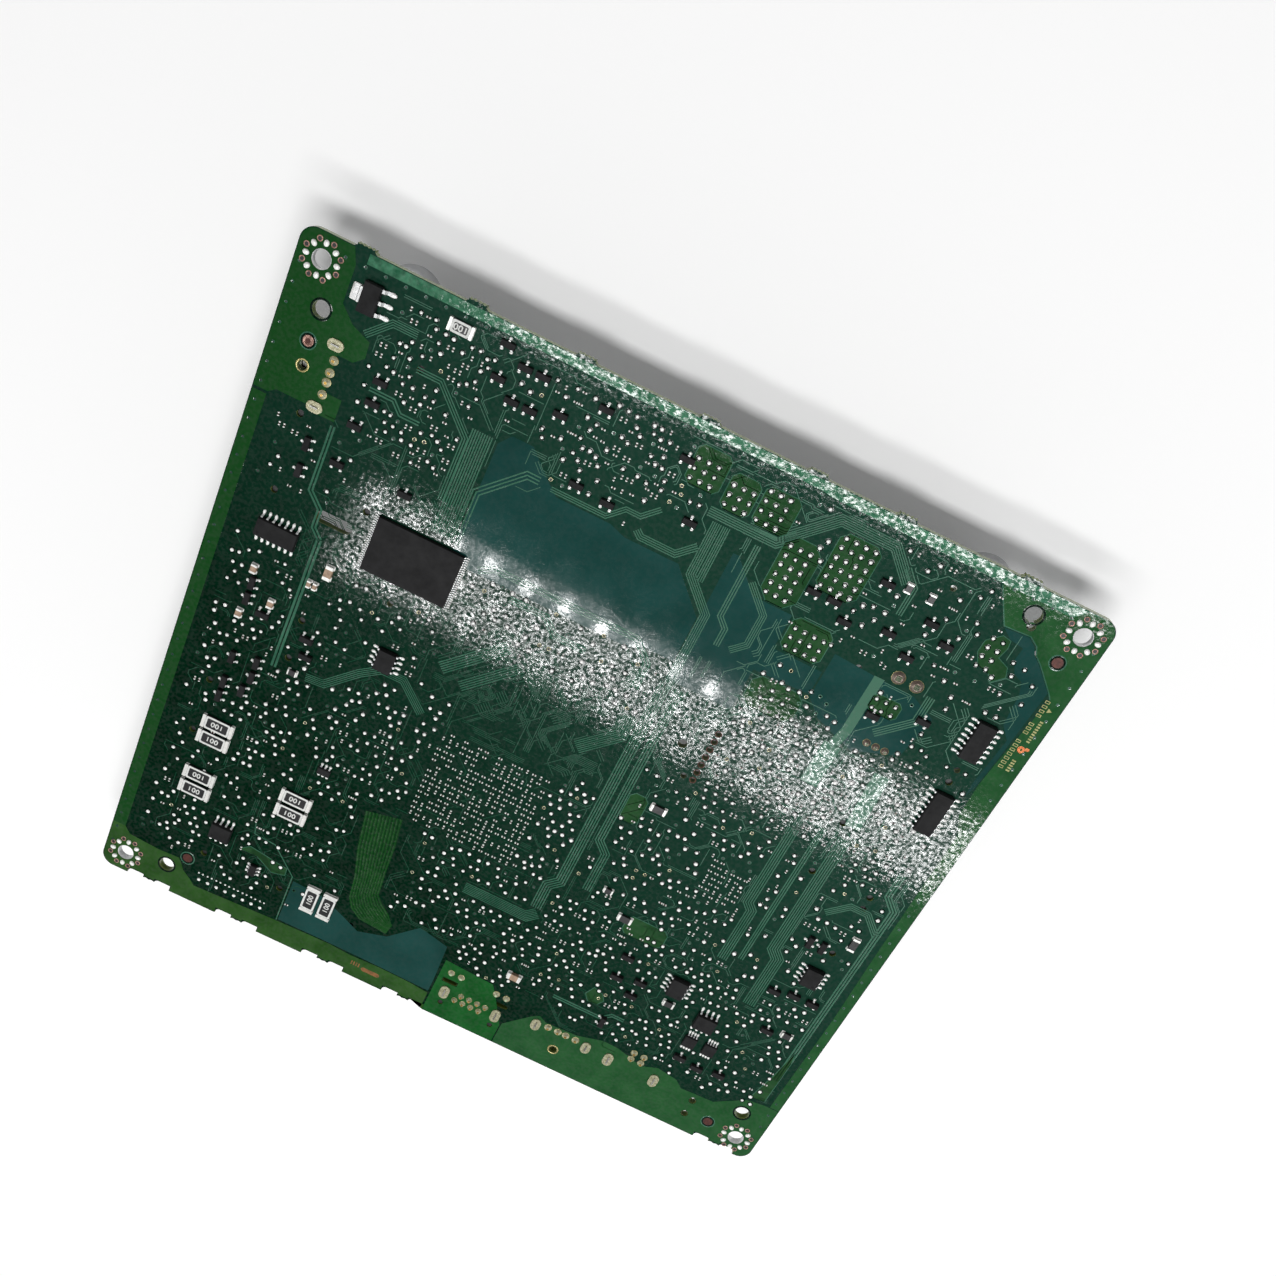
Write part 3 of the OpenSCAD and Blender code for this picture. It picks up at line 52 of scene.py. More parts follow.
# %% [markdown]
# All places on a circuit card are given in millimetres from its centre, as its drawing would give
# them, so the script keeps to millimetres and turns them into metres at the last step.
# The card's own box says where its two faces lie.

# %% The card's faces
MM = 0.001
card_low, card_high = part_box("circuit_board")
TOP = card_high.z / MM
UNDER = card_low.z / MM
HALF_W = card_high.x / MM
HALF_D = -card_low.y / MM
print("card faces at", round(UNDER, 2), "and", round(TOP, 2), "mm")

# %% [markdown]
# A scene of thousands of small solder dots would be slow as thousands of objects. The usual way is to
# collect like shapes into one mesh, so each kind of dot or trace becomes one piece. `Pile` is such a
# collector: shapes go in as points and faces, and come out as one object that rides on the card.


# %% A collector for many small shapes
class Pile:
    """Small shapes that end as one piece."""

    def __init__(self):
        self.points = []
        self.faces = []

    def add(self, points, faces):
        start = len(self.points)
        self.points += points
        self.faces += [[i + start for i in face] for face in faces]

    def piece(self, name, material, slot, smooth=False):
        mesh = bpy.data.meshes.new(name)
        metres = [(x * MM, y * MM, z * MM) for x, y, z in self.points]
        mesh.from_pydata(metres, [], self.faces)
        mesh.validate()
        mesh.polygons.foreach_set("use_smooth", [smooth] * len(mesh.polygons))
        mesh.materials.append(material)
        thing = bpy.data.objects.new(name, mesh)
        bpy.context.scene.collection.objects.link(thing)
        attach(thing, "root")
        print(name + ":", len(mesh.polygons), "faces")


# %% [markdown]
# Three shapes cover nearly everything on the card. A dome is a drop of solder on a round pad. A ring
# is a pad with its hole left open. A slab is a flat patch, such as copper under the mask. The round
# two come first: both are ovals of points joined by bands of faces. Each shape is closed underneath
# too, so that the exported mesh is sound.


# %% Domes and rings
def turn_of(step, steps):
    return 2 * math.pi * step / steps


def spoke(x, y, radius, angle):
    """The point at a distance and an angle from a centre."""
    return x + radius * math.cos(angle), y + radius * math.sin(angle)


def oval(x, y, z, radius, sides, squash, angle):
    """A circle's points, squashed along its own two axes and then turned."""
    ca, sa = math.cos(angle), math.sin(angle)
    points = []
    for i in range(sides):
        px = radius * squash[0] * math.cos(turn_of(i, sides))
        py = radius * squash[1] * math.sin(turn_of(i, sides))
        points.append((x + px * ca - py * sa, y + px * sa + py * ca, z))
    return points


def band(low, high, sides):
    """The faces between two ovals whose first points are low and high."""
    return [[low + i, low + (i + 1) % sides, high + (i + 1) % sides, high + i] for i in range(sides)]


def stack_of_circles(x, y, rings, sides, squash=(1, 1), angle=0):
    """Joins circles of (radius, height) from the lowest to the highest; both ends are capped."""
    points = []
    for radius, height in rings:
        points += oval(x, y, height, radius, sides, squash, angle)
    last = (len(rings) - 1) * sides
    faces = [list(range(sides))[::-1]]
    for low in range(0, last, sides):
        faces += band(low, low + sides, sides)
    faces.append([last + i for i in range(sides)])
    return points, faces


def dome(x, y, z, radius, height, sides=10, squash=(1, 1), angle=0):
    profile = [(1, 0), (0.93, 0.35), (0.72, 0.72), (0.34, 0.96)]
    rings = [(radius * r, z + height * h) for r, h in profile]
    return stack_of_circles(x, y, rings, sides, squash, angle)


def ring(x, y, z, outer, inner, height, sides=14, squash=(1, 1), angle=0):
    """A flat washer with a soft inner slope."""
    crest = outer - 0.2 * (outer - inner)
    profile = ((outer, 0), (crest, height), (inner, 0.6 * height), (inner, 0))
    points, faces = [], []
    for step, (radius, level) in enumerate(profile):
        points += oval(x, y, z + level, radius, sides, squash, angle)
        faces += band(step * sides, (step + 1) % len(profile) * sides, sides)
    return points, faces


print("one drop of solder:", len(dome(0, 0, 0, 1, 1)[1]), "faces")

# %% [markdown]
# A flat patch starts as an outline. A plain one is a slab: a floor, a roof and upright sides. One with
# holes needs its roof cut into triangles that leave the holes free. Blender's own `tessellate_polygon`
# does that, which is simpler and quicker than cutting holes with a boolean modifier.


# %% Slabs and plates with holes
def slab(outline, z, thickness):
    """A patch with upright sides over a counter-clockwise outline."""
    n = len(outline)
    points = [(x, y, z) for x, y in outline] + [(x, y, z + thickness) for x, y in outline]
    faces = [list(range(n))[::-1], list(range(n, 2 * n))]
    faces += [[i, (i + 1) % n, n + (i + 1) % n, n + i] for i in range(n)]
    return points, faces


def circle(x, y, radius, sides=20):
    return [spoke(x, y, radius, turn_of(i, sides)) for i in range(sides)]


def plate(outline, holes, z, thickness):
    """A patch like slab, with holes; every loop is given counter-clockwise."""
    loops = [outline] + [hole[::-1] for hole in holes]
    flat = [(x, y) for loop in loops for x, y in loop]
    n = len(flat)
    points = [(x, y, z) for x, y in flat] + [(x, y, z + thickness) for x, y in flat]
    faces = []
    for a, b, c in tessellate_polygon([[Vector((x, y, 0)) for x, y in loop] for loop in loops]):
        (ax, ay), (bx, by), (cx, cy) = flat[a], flat[b], flat[c]
        if (bx - ax) * (cy - ay) - (by - ay) * (cx - ax) < 0:
            b, c = c, b
        faces += [[n + a, n + b, n + c], [c, b, a]]
    start = 0
    for loop in loops:
        size = len(loop)
        for i in range(size):
            j = (i + 1) % size
            faces.append([start + i, start + j, n + start + j, n + start + i])
        start += size
    return points, faces


def rectangle(x0, y0, x1, y1, cut=0.0):
    """A box's outline, with its corners cut off at 45 degrees."""
    if not cut:
        return [(x0, y0), (x1, y0), (x1, y1), (x0, y1)]
    return [(x0 + cut, y0), (x1 - cut, y0), (x1, y0 + cut), (x1, y1 - cut),
            (x1 - cut, y1), (x0 + cut, y1), (x0, y1 - cut), (x0, y0 + cut)]


def centred(x, y, reach_x, reach_y):
    return rectangle(x - reach_x, y - reach_y, x + reach_x, y + reach_y)


def box_round(low, high, margin, cut=0.0):
    """The outline of a solid's box, widened on every side by a margin."""
    return rectangle(low.x - margin, low.y - margin, high.x + margin, high.y + margin, cut)


print("a box's outline:", len(rectangle(0, 0, 1, 1)), "corners, or", len(rectangle(0, 0, 1, 1, 0.1)))

# %% [markdown]
# A trace is a copper strip that turns in 45 degree steps. It is drawn as a ribbon: the route's points
# are widened to both sides, and the corners are mitred so that the strip keeps its width.


# %% Ribbons along a route
def side_step(before, here, after, half):
    """The offset from a route's point to its left edge."""
    def unit(a, b):
        dx, dy = b[0] - a[0], b[1] - a[1]
        length = math.hypot(dx, dy) or 1
        return dx / length, dy / length
    d0 = unit(before, here) if before else unit(here, after)
    d1 = unit(here, after) if after else d0
    nx, ny = -(d0[1] + d1[1]), d0[0] + d1[0]
    length = math.hypot(nx, ny) or 1
    mitre = half / max(0.5, length / 2)
    return nx / length * mitre, ny / length * mitre


def ribbon(route, width, z, thickness):
    points, faces = [], []
    bevel = max(0.7, 1 - 0.1 / width)
    for i, (x, y) in enumerate(route):
        before = route[i - 1] if i else None
        after = route[i + 1] if i + 1 < len(route) else None
        dx, dy = side_step(before, (x, y), after, width / 2)
        points += [(x + dx, y + dy, z), (x + bevel * dx, y + bevel * dy, z + thickness),
                   (x - bevel * dx, y - bevel * dy, z + thickness), (x - dx, y - dy, z)]
    for i in range(len(route) - 1):
        a, b = 4 * i, 4 * i + 4
        faces += [[a + k, a + (k + 1) % 4, b + (k + 1) % 4, b + k] for k in range(4)]
    faces += [[3, 2, 1, 0], [len(points) - 4 + k for k in range(4)]]
    return points, faces


print("a strip with one bend:", len(ribbon([(0, 0), (1, 0), (2, 1)], 0.2, 0, 0.03)[1]), "faces")

# %% [markdown]
# A finish is a small network of shader nodes. A few of them come back all the time: noise, a change
# of range, a calculation on two values and a blend of two colours. Each gets a helper here, so that a
# finish reads like a sentence. The noise lies in the object's own coordinates, so it stays put when
# the camera moves.


# %% Helpers for shader nodes
def linear(red, green, blue):
    """A colour picked as 0 to 255 values on a screen, for a shader's socket."""
    def channel(v):
        v /= 255
        return v / 12.92 if v <= 0.04045 else ((v + 0.055) / 1.055) ** 2.4
    return channel(red), channel(green), channel(blue), 1.0


def feed(links, socket, value):
    """Gives a socket its value: a link from another socket, or else a constant."""
    if isinstance(value, bpy.types.NodeSocket):
        links.new(value, socket)
    else:
        socket.default_value = value


def noise(nodes, links, size, detail=3.0):
    """Noise whose blotches are about size millimetres wide."""
    texture = nodes.new("ShaderNodeTexNoise")
    texture.inputs["Scale"].default_value = 1 / (size * MM)
    texture.inputs["Detail"].default_value = detail
    links.new(nodes.new("ShaderNodeTexCoord").outputs["Object"], texture.inputs["Vector"])
    return texture.outputs["Fac"]


def spread(nodes, links, value, first, last, low, high):
    """A Map Range node, which turns the span from first to last into the span from low to high."""
    node = nodes.new("ShaderNodeMapRange")
    links.new(value, node.inputs["Value"])
    for name, bound in (("From Min", first), ("From Max", last), ("To Min", low), ("To Max", high)):
        feed(links, node.inputs[name], bound)
    return node.outputs["Result"]


def combine(nodes, links, operation, first, second):
    """A Math node; each input is a socket or a number."""
    node = nodes.new("ShaderNodeMath")
    node.operation = operation
    feed(links, node.inputs[0], first)
    feed(links, node.inputs[1], second)
    return node.outputs["Value"]


def drift(nodes, links, value, low, high):
    """Stretches the middle of a noise over low to high."""
    return spread(nodes, links, value, 0.3, 0.7, low, high)


def blend_colours(nodes, links, factor, first, second):
    mix = nodes.new("ShaderNodeMix")
    mix.data_type = "RGBA"
    links.new(factor, mix.inputs["Factor"])
    feed(links, mix.inputs["A"], first)
    feed(links, mix.inputs["B"], second)
    return mix.outputs["Result"]


print("middle grey on a screen is", round(linear(128, 128, 128)[0], 3), "in a shader")

# %% [markdown]
# Nearly every finish here is the same small recipe with other numbers: a colour that drifts between
# two tones, a roughness that drifts too, and a fine bump. `surface` sets that recipe up once, with
# its sizes in millimetres.


# %% The recipe behind most finishes
def surface(name, dark, light, patch=3.0, rough=(0.4, 0.5), grain=0.2, depth=0.02,
            metal=0.0, shine=0.5, coat=0.0):
    """A finish: two tones, patches and grain in millimetres, and the bump's depth in millimetres."""
    material = bpy.data.materials.new(name)
    material.use_nodes = True
    nodes, links = material.node_tree.nodes, material.node_tree.links
    shader = nodes["Principled BSDF"]
    tone = drift(nodes, links, noise(nodes, links, patch), 0, 1)
    tones = blend_colours(nodes, links, tone, linear(*dark), linear(*light))
    links.new(tones, shader.inputs["Base Color"])
    worn = noise(nodes, links, patch / 3, 5)
    links.new(drift(nodes, links, worn, *rough), shader.inputs["Roughness"])
    bump = nodes.new("ShaderNodeBump")
    bump.inputs["Distance"].default_value = depth * MM
    links.new(noise(nodes, links, grain, 4), bump.inputs["Height"])
    links.new(bump.outputs["Normal"], shader.inputs["Normal"])
    shader.inputs["Metallic"].default_value = metal
    shader.inputs["Specular IOR Level"].default_value = shine
    shader.inputs["Coat Weight"].default_value = coat
    shader.inputs["Coat Roughness"].default_value = 0.12
    return material


print("packed parts that wait for a finish:", len(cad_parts))

# %% [markdown]
# Some parts change their tone from one end of the card to the other. `lean_towards` blends a finish
# into a second colour along a direction. A dot product with the position gives the way travelled.


# %% A tone that changes along the card
def lean_towards(material, direction, start, end, colour):
    """Blends the base colour into another from start to end, in millimetres along a direction."""
    nodes, links = material.node_tree.nodes, material.node_tree.links
    far = nodes.new("ShaderNodeVectorMath")
    far.operation = "DOT_PRODUCT"
    far.inputs[1].default_value = direction
    links.new(nodes.new("ShaderNodeTexCoord").outputs["Object"], far.inputs[0])
    share = spread(nodes, links, far.outputs["Value"], start * MM, end * MM, 0, 1)
    socket = nodes["Principled BSDF"].inputs["Base Color"]
    both = blend_colours(nodes, links, share, socket.links[0].from_socket, linear(*colour))
    links.new(both, socket)
    return both


print("the card from corner to corner:", round(2 * math.hypot(HALF_W, HALF_D), 1), "mm")

# %% [markdown]
# Solder mask is a thin green lacquer. Over bare laminate it looks deep blue-green, and over copper it
# looks lighter, because the copper sends light back through it. So there is one mask finish with
# different tones, and the copper pieces get the lighter ones. The lacquer is glossy and slightly wavy,
# which breaks up the reflection of a long lamp. Its gloss also comes and goes in small specks.

# %% Mask over copper, in several tones
MASK_ROUGH = (0.04, 0.08)
MASK_GRAIN = 0.9
MASK_DEPTH = 0.012
MASK_SPECKS = (0.75, 0.03, 0.72)


def speckle(material, size, low, high):
    """Lets the gloss come and go in specks of about size millimetres."""
    nodes, links = material.node_tree.nodes, material.node_tree.links
    gloss = spread(nodes, links, noise(nodes, links, size, 5), 0.42, 0.6, low, high)
    links.new(gloss, nodes["Principled BSDF"].inputs["Specular IOR Level"])
    return material


def mask_over(name, dark, light):
    finish = surface(name, dark, light, patch=5, rough=MASK_ROUGH, grain=MASK_GRAIN, depth=MASK_DEPTH)
    return speckle(finish, *MASK_SPECKS)


edge_green = mask_over("mask_over_edge_copper", (36, 72, 28), (52, 90, 42))
jack_green = mask_over("mask_over_jack_copper", (18, 76, 30), (30, 94, 42))
lane_green = mask_over("mask_under_lanes", (8, 48, 20), (18, 62, 26))
sweep_green = mask_over("mask_over_lanes", (20, 66, 28), (34, 82, 36))
chassis_green = mask_over("mask_over_chassis_copper", (32, 78, 42), (44, 92, 52))
lean_towards(chassis_green, (1, 0, 0), -50, -78, (24, 70, 30))
supply_green = mask_over("mask_over_supply_copper", (30, 68, 38), (44, 84, 48))
plane_green = surface("mask_over_plane", (18, 59, 54), (30, 74, 70), patch=14,
                      rough=MASK_ROUGH, grain=MASK_GRAIN, depth=0.0025)
speckle(plane_green, 0.7, 0.22, 0.56)
trace_green = mask_over("mask_over_traces", (22, 64, 46), (38, 82, 62))
lean_towards(trace_green, (0.6, 0.8, 0), -20, 50, (82, 122, 104))
bus_green = mask_over("mask_over_buses", (44, 90, 70), (66, 114, 92))
lean_towards(bus_green, (0.6, 0.8, 0), 0, 60, (76, 118, 98))
# The pale green along the pours' edges is a painted highlight, where the mask over the copper's edge
# catches the light; the fiducials' rims share this finish.
pale_green = mask_over("mask_over_pour_rims_painted_highlight", (46, 92, 72), (70, 116, 94))
clearance_green = mask_over("mask_in_clearances", (3, 20, 13), (7, 30, 21))
# The rear rim's light green base is partly mask over copper and partly a painted sheen, the glare of the
# ceiling lamp put into its colour.
rear_rim_sheen_green = surface("mask_on_rim_painted_sheen", (40, 92, 66), (76, 134, 104), patch=1.2,
                    rough=(0.06, 0.12), grain=1.4, depth=0.05)
speckle(rear_rim_sheen_green, 0.9, 0.02, 1.0)
print("mask tones:", len([m for m in bpy.data.materials if "mask" in m.name]))

# %% [markdown]
# The card itself is one solid, so its faces and its cut edges share a material slot. The shader tells
# them apart by the surface normal: where the normal points up or down it's a masked face, and
# elsewhere it's the sawn edge of woven glass and resin, with its layers drawn as fine bands. The face
# also goes from a darker plain green at one corner to a lighter blue-green at the other.
# The specks of gloss stay on the upper face: a Map Range node gives the rest of the card one level.

# %% The card's own finish
def card_material():
    material = surface("card", (0, 28, 14), (4, 40, 24), patch=4, rough=MASK_ROUGH,
                       grain=MASK_GRAIN, depth=MASK_DEPTH)
    speckle(material, *MASK_SPECKS)
    nodes, links = material.node_tree.nodes, material.node_tree.links
    shader = nodes["Principled BSDF"]
    face = lean_towards(material, (0.6, 0.8, 0), -50, 40, (25, 60, 47))
    layers = nodes.new("ShaderNodeTexWave")
    layers.bands_direction = "Z"
    layers.inputs["Scale"].default_value = 1 / (6.5 * MM)
    layers.inputs["Distortion"].default_value = 2.5
    layers.inputs["Detail Scale"].default_value = 300
    links.new(nodes.new("ShaderNodeTexCoord").outputs["Object"], layers.inputs["Vector"])
    sawn = blend_colours(nodes, links, layers.outputs["Fac"], linear(98, 118, 52), linear(150, 160, 92))
    normal = nodes.new("ShaderNodeNewGeometry").outputs["Normal"]
    split = nodes.new("ShaderNodeSeparateXYZ")
    links.new(normal, split.inputs["Vector"])
    upright = nodes.new("ShaderNodeMath")
    upright.operation = "ABSOLUTE"
    links.new(split.outputs["Z"], upright.inputs[0])
    links.new(blend_colours(nodes, links, upright.outputs["Value"], sawn, face),
              shader.inputs["Base Color"])
    shine = shader.inputs["Specular IOR Level"]
    links.new(spread(nodes, links, split.outputs["Z"], 0, 1, 0.25, shine.links[0].from_socket), shine)
    return material


card_finish = card_material()
print("the card's finish:", len(card_finish.node_tree.nodes), "shader nodes")

# %% [markdown]
# Solder and tinned leads are metals whose colour sits mostly in the reflection. The shells, cans, lids
# and gold plate get a pale base colour, full metallic and a low roughness. Solder instead gets a
# near-white base colour with little metal, so part of its bright glint is painted into the colour:
# partly its own pale tin, partly a painted highlight. Solder freezes with a slightly grainy skin.
# Copper pads that stayed bare are a warmer metal, and gold plate on contacts is warmer still.

# %% Metals
# Solder's near-white, mostly diffuse colour is partly the tin's own pale tone and partly a painted
# highlight.
solder = surface("solder", (246, 246, 243), (253, 253, 250), patch=0.5,
                 rough=(0.24, 0.38), grain=0.12, depth=0.015, metal=0.15)
lead_tin = surface("tinned_leads", (200, 202, 204), (234, 234, 232), patch=0.8,
                   rough=(0.25, 0.42), grain=0.1, depth=0.01, metal=0.5)
end_cap = surface("plated_ends", (226, 226, 222), (248, 247, 242), patch=0.6,
                  rough=(0.28, 0.45), grain=0.12, depth=0.015, metal=0.35)
shell_steel = surface("nickel_shell", (176, 176, 172), (205, 204, 198), patch=5,
                      rough=(0.24, 0.36), grain=0.25, depth=0.006, metal=1.0)
can_metal = surface("aluminium_can", (196, 198, 200), (220, 221, 222), patch=4,
                    rough=(0.26, 0.36), grain=0.3, depth=0.006, metal=1.0)
sink_metal = surface("anodised_sink", (38, 38, 40), (54, 54, 57), patch=3,
                     rough=(0.42, 0.55), grain=0.15, depth=0.01, metal=0.7)
contact_gold = surface("gold_plate", (222, 176, 92), (238, 198, 118), patch=2,
                       rough=(0.2, 0.3), grain=0.2, depth=0.004, metal=1.0)
crystal_lid = surface("crystal_lid", (190, 186, 172), (212, 208, 194), patch=2,
                      rough=(0.25, 0.35), grain=0.2, depth=0.006, metal=1.0)
bare_copper = surface("bare_copper", (150, 82, 50), (190, 118, 76), patch=0.8,
                      rough=(0.35, 0.5), grain=0.15, depth=0.01, metal=0.9)
dull_copper = surface("dull_copper", (58, 22, 16), (92, 44, 32), patch=0.5,
                      rough=(0.4, 0.55), grain=0.15, depth=0.01, metal=0.3)
worn_copper = surface("worn_copper", (104, 74, 34), (150, 98, 52), patch=0.8,
                      rough=(0.35, 0.5), grain=0.15, depth=0.01, metal=0.2)
via_copper = surface("via_rims", (128, 92, 80), (190, 150, 136), patch=0.4,
                     rough=(0.25, 0.4), grain=0.15, depth=0.01, metal=0.4)
flux_solder = surface("fluxed_solder", (150, 146, 108), (206, 202, 172), patch=0.6,
                      rough=(0.2, 0.34), grain=0.15, depth=0.02, metal=0.8)
pin_fillet = surface("pin_fillets", (150, 148, 112), (214, 210, 180), patch=0.5,
                     rough=(0.2, 0.35), grain=0.3, depth=0.02, metal=0.4)
lean_towards(pin_fillet, (-1, -1, 0), -20, -50, (112, 98, 88))
# The pins' tips get a dark green-grey: painted shade for the dark middle of each soldered pin, not the
# colour of their tin.
painted_shade_pin_ends = surface("pin_tips_painted_shade", (34, 48, 30), (78, 86, 62), patch=0.4,
                  rough=(0.1, 0.25), grain=0.3, depth=0.03, metal=0.4)
pin_gold = surface("pad_rims", (150, 138, 84), (196, 184, 130), patch=0.7,
                   rough=(0.25, 0.4), grain=0.12, depth=0.01, metal=0.6)
print("metals: 16")

# %% [markdown]
# Chip bodies are moulded from black epoxy full of glass powder, so they're dark grey and matt with a
# fine sandy grain. Plastic connectors are smoother. Ceramic parts are dense and almost even.

# %% Moulded parts, plastics and ceramics
chip_mould = surface("chip_epoxy", (26, 26, 27), (37, 37, 38), patch=2.5,
                     rough=(0.5, 0.66), grain=0.09, depth=0.012, shine=0.12)
resistor_glaze = surface("resistor_glaze", (16, 16, 18), (28, 28, 31), patch=1.5,
                         rough=(0.3, 0.45), grain=0.12, depth=0.01, shine=0.5)
ceramic = surface("ceramic_body", (142, 116, 94), (176, 148, 122), patch=0.8,
                  rough=(0.4, 0.55), grain=0.1, depth=0.01)
package_laminate = surface("package_laminate", (30, 46, 40), (44, 60, 52), patch=2,
                           rough=(0.4, 0.5), grain=0.2, depth=0.008)
tape = surface("heat_tape", (150, 170, 186), (176, 192, 204), patch=2,
               rough=(0.6, 0.7), grain=0.2, depth=0.01)
ferrite = surface("ferrite", (58, 58, 60), (82, 81, 82), patch=1.5,
                  rough=(0.5, 0.65), grain=0.15, depth=0.02)
# This black finish also serves as painted shade in the mouths of open vias.
black_plastic = surface("black_plastic", (24, 24, 26), (34, 34, 36), patch=4,
                        rough=(0.36, 0.46), grain=0.25, depth=0.008)
ivory_plastic = surface("ivory_plastic", (222, 214, 192), (234, 228, 208), patch=5,
                        rough=(0.36, 0.46), grain=0.25, depth=0.006)
white_plastic = surface("white_plastic", (226, 226, 222), (240, 240, 236), patch=5,
                        rough=(0.34, 0.44), grain=0.25, depth=0.006)
lamp_plastic = surface("lamp_plastic", (178, 196, 160), (200, 214, 182), patch=3,
                       rough=(0.2, 0.3), grain=0.3, depth=0.004, coat=0.4)
white_print = surface("white_print", (206, 208, 204), (232, 233, 230), patch=0.5,
                      rough=(0.55, 0.7), grain=0.06, depth=0.006)
yellow_print = surface("yellow_print", (136, 136, 72), (198, 194, 134), patch=0.5,
                       rough=(0.55, 0.7), grain=0.06, depth=0.006)
tiny_body = surface("tiny_bodies", (40, 30, 26), (92, 62, 50), patch=6,
                    rough=(0.4, 0.55), grain=0.1, depth=0.01)
print("plastics and ceramics: 13")

# %% [markdown]
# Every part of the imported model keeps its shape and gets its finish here, by its material slot. The
# table says which finish each node wears; the loop stops with an error if a node was left out.

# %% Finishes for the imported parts
FINISHES = {
    "circuit_board": card_finish,
    "pin_solder": pin_fillet,
    "solder_balls": solder,
    "thermal_tape": tape,
    "heat_sink": sink_metal,
    "power_inductors": ferrite,
    "capacitor_cans": can_metal,
    "capacitor_bases": black_plastic,
    "crystal_bases": ceramic,
    "crystal_lids": crystal_lid,
    "ceramic_capacitors": ceramic,
    "decoupling_capacitors": ceramic,
    "sense_resistors": resistor_glaze,
    "diodes": black_plastic,
    "ribbon_connectors": black_plastic,
    "wire_headers": black_plastic,
    "power_header": ivory_plastic,
    "usb_host_tongues": white_plastic,
    "usb_device_housing": white_plastic,
    "network_jack_housing": black_plastic,
    "network_jack_insert": black_plastic,
    "network_jack_lamps": lamp_plastic,
    "network_jack_contacts": contact_gold,
    "ribbon_contacts": contact_gold,
    "usb_host_contacts": contact_gold,
    "usb_device_contacts": contact_gold,
}
BY_WORD = [("_ends", end_cap), ("_leads", lead_tin), ("_pins", painted_shade_pin_ends), ("_shell", shell_steel),
           ("_shield", shell_steel), ("processor", package_laminate), ("memory_chips", package_laminate),
           ("chip", chip_mould), ("flash", chip_mould), ("driver", chip_mould),
           ("regulator", chip_mould), ("transistor", chip_mould)]


def finish_of(node):
    if node in FINISHES:
        return FINISHES[node]
    for word, material in BY_WORD:
        if word in node:
            return material
    raise ValueError("no finish for " + node)


for node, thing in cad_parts.items():
    for slot in thing.material_slots:
        slot.material = finish_of(node)
print("finished", len(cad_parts), "packed parts")

# %% [markdown]
# Dots and traces on a real card never touch what they don't belong to. `Room` keeps a coarse map of
# the card's face, one cell per 0.4 mm, and remembers what is taken: holes, chips' feet, bare zones
# and every dot placed so far. Later steps ask it before they put something down.


# %% A map of what is taken
class Room:
    """Which cells of the card's face are free."""
    CELL = 0.4

    def __init__(self):
        self.columns = int(2 * HALF_W / self.CELL) + 1
        self.rows = int(2 * HALF_D / self.CELL) + 1
        self.taken = bytearray(self.columns * self.rows)

    def cell(self, x, y):
        return round((x + HALF_W) / self.CELL), round((y + HALF_D) / self.CELL)

    def place(self, column, row):
        return column * self.CELL - HALF_W, row * self.CELL - HALF_D

    def inside(self, column, row):
        return 1 < column < self.columns - 2 and 1 < row < self.rows - 2

    def cells_of(self, x, y, reach_x, reach_y):
        left, low = self.cell(x - reach_x, y - reach_y)
        right, high = self.cell(x + reach_x, y + reach_y)
        for row in range(max(0, low), min(self.rows, high + 1)):
            for column in range(max(0, left), min(self.columns, right + 1)):
                yield row * self.columns + column

    def take(self, x, y, reach_x, reach_y=None):
        for i in self.cells_of(x, y, reach_x, reach_x if reach_y is None else reach_y):
            self.taken[i] = 1

    def take_box(self, x0, y0, x1, y1):
        self.take((x0 + x1) / 2, (y0 + y1) / 2, abs(x1 - x0) / 2, abs(y1 - y0) / 2)

    def free(self, x, y, reach):
        return not any(self.taken[i] for i in self.cells_of(x, y, reach, reach))


top_room = Room()
print("room:", top_room.columns, "by", top_room.rows, "cells")

# %% [markdown]
# The solder at a chip's feet has to sit exactly where the leads end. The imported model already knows
# that: each lead is a solid of its own inside its node. So the mesh is split into its solids, and each
# one's box gives the place of a foot.

# %% The solids inside a node
import bmesh


def solids_in(node):
    """The box of each separate solid of a node, as (low, high) in millimetres."""
    mesh = bmesh.new()
    mesh.from_mesh(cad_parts[node].data)
    bmesh.ops.remove_doubles(mesh, verts=mesh.verts, dist=1e-7)
    seen, boxes = set(), []
    for first in mesh.verts:
        if first in seen:
            continue
        seen.add(first)
        waiting, members = [first], []
        while waiting:
            vert = waiting.pop()
            members.append(vert.co / MM)
            for edge in vert.link_edges:
                other = edge.other_vert(vert)
                if other not in seen:
                    seen.add(other)
                    waiting.append(other)
        low = Vector(min(p[k] for p in members) for k in range(3))
        high = Vector(max(p[k] for p in members) for k in range(3))
        boxes.append((low, high))
    mesh.free()
    return boxes


BODIES_AND_FEET = [("flash_memory", "flash_memory_leads"), ("logic_chips", "logic_chip_leads"),
                   ("small_chips", "small_chip_leads"), ("micro_chips", "micro_chip_leads"),
                   ("voltage_regulator", "voltage_regulator_leads"),
                   ("transistors", "transistor_leads")]
LONG_FEET = ("micro_chip_leads", "transistor_leads", "small_chip_leads", "logic_chip_leads")
CAPPED = ["sense_resistor_ends", "ceramic_capacitor_ends", "diode_ends"]
body_boxes = {body: solids_in(body) for body, feet in BODIES_AND_FEET}
foot_boxes = {feet: solids_in(feet) for body, feet in BODIES_AND_FEET}
cap_boxes = {node: solids_in(node) for node in CAPPED}
print("feet on the soldered side:", sum(len(b) for b in foot_boxes.values()))

# %% [markdown]
# A reflowed joint climbs the lead's toe in a small fillet and spreads a little past the pad's sides.
# From above it looks like a bright drop at the end of each lead. Each drop is a squashed dome whose
# long axis follows the lead.

# %% Solder at the feet
SKIN = 0.01
COPPER = 0.03
SPREAD = 0.14
WIDE_TAB = 2
FINE_DROP = (0.22, 0.17)
joints = Pile()


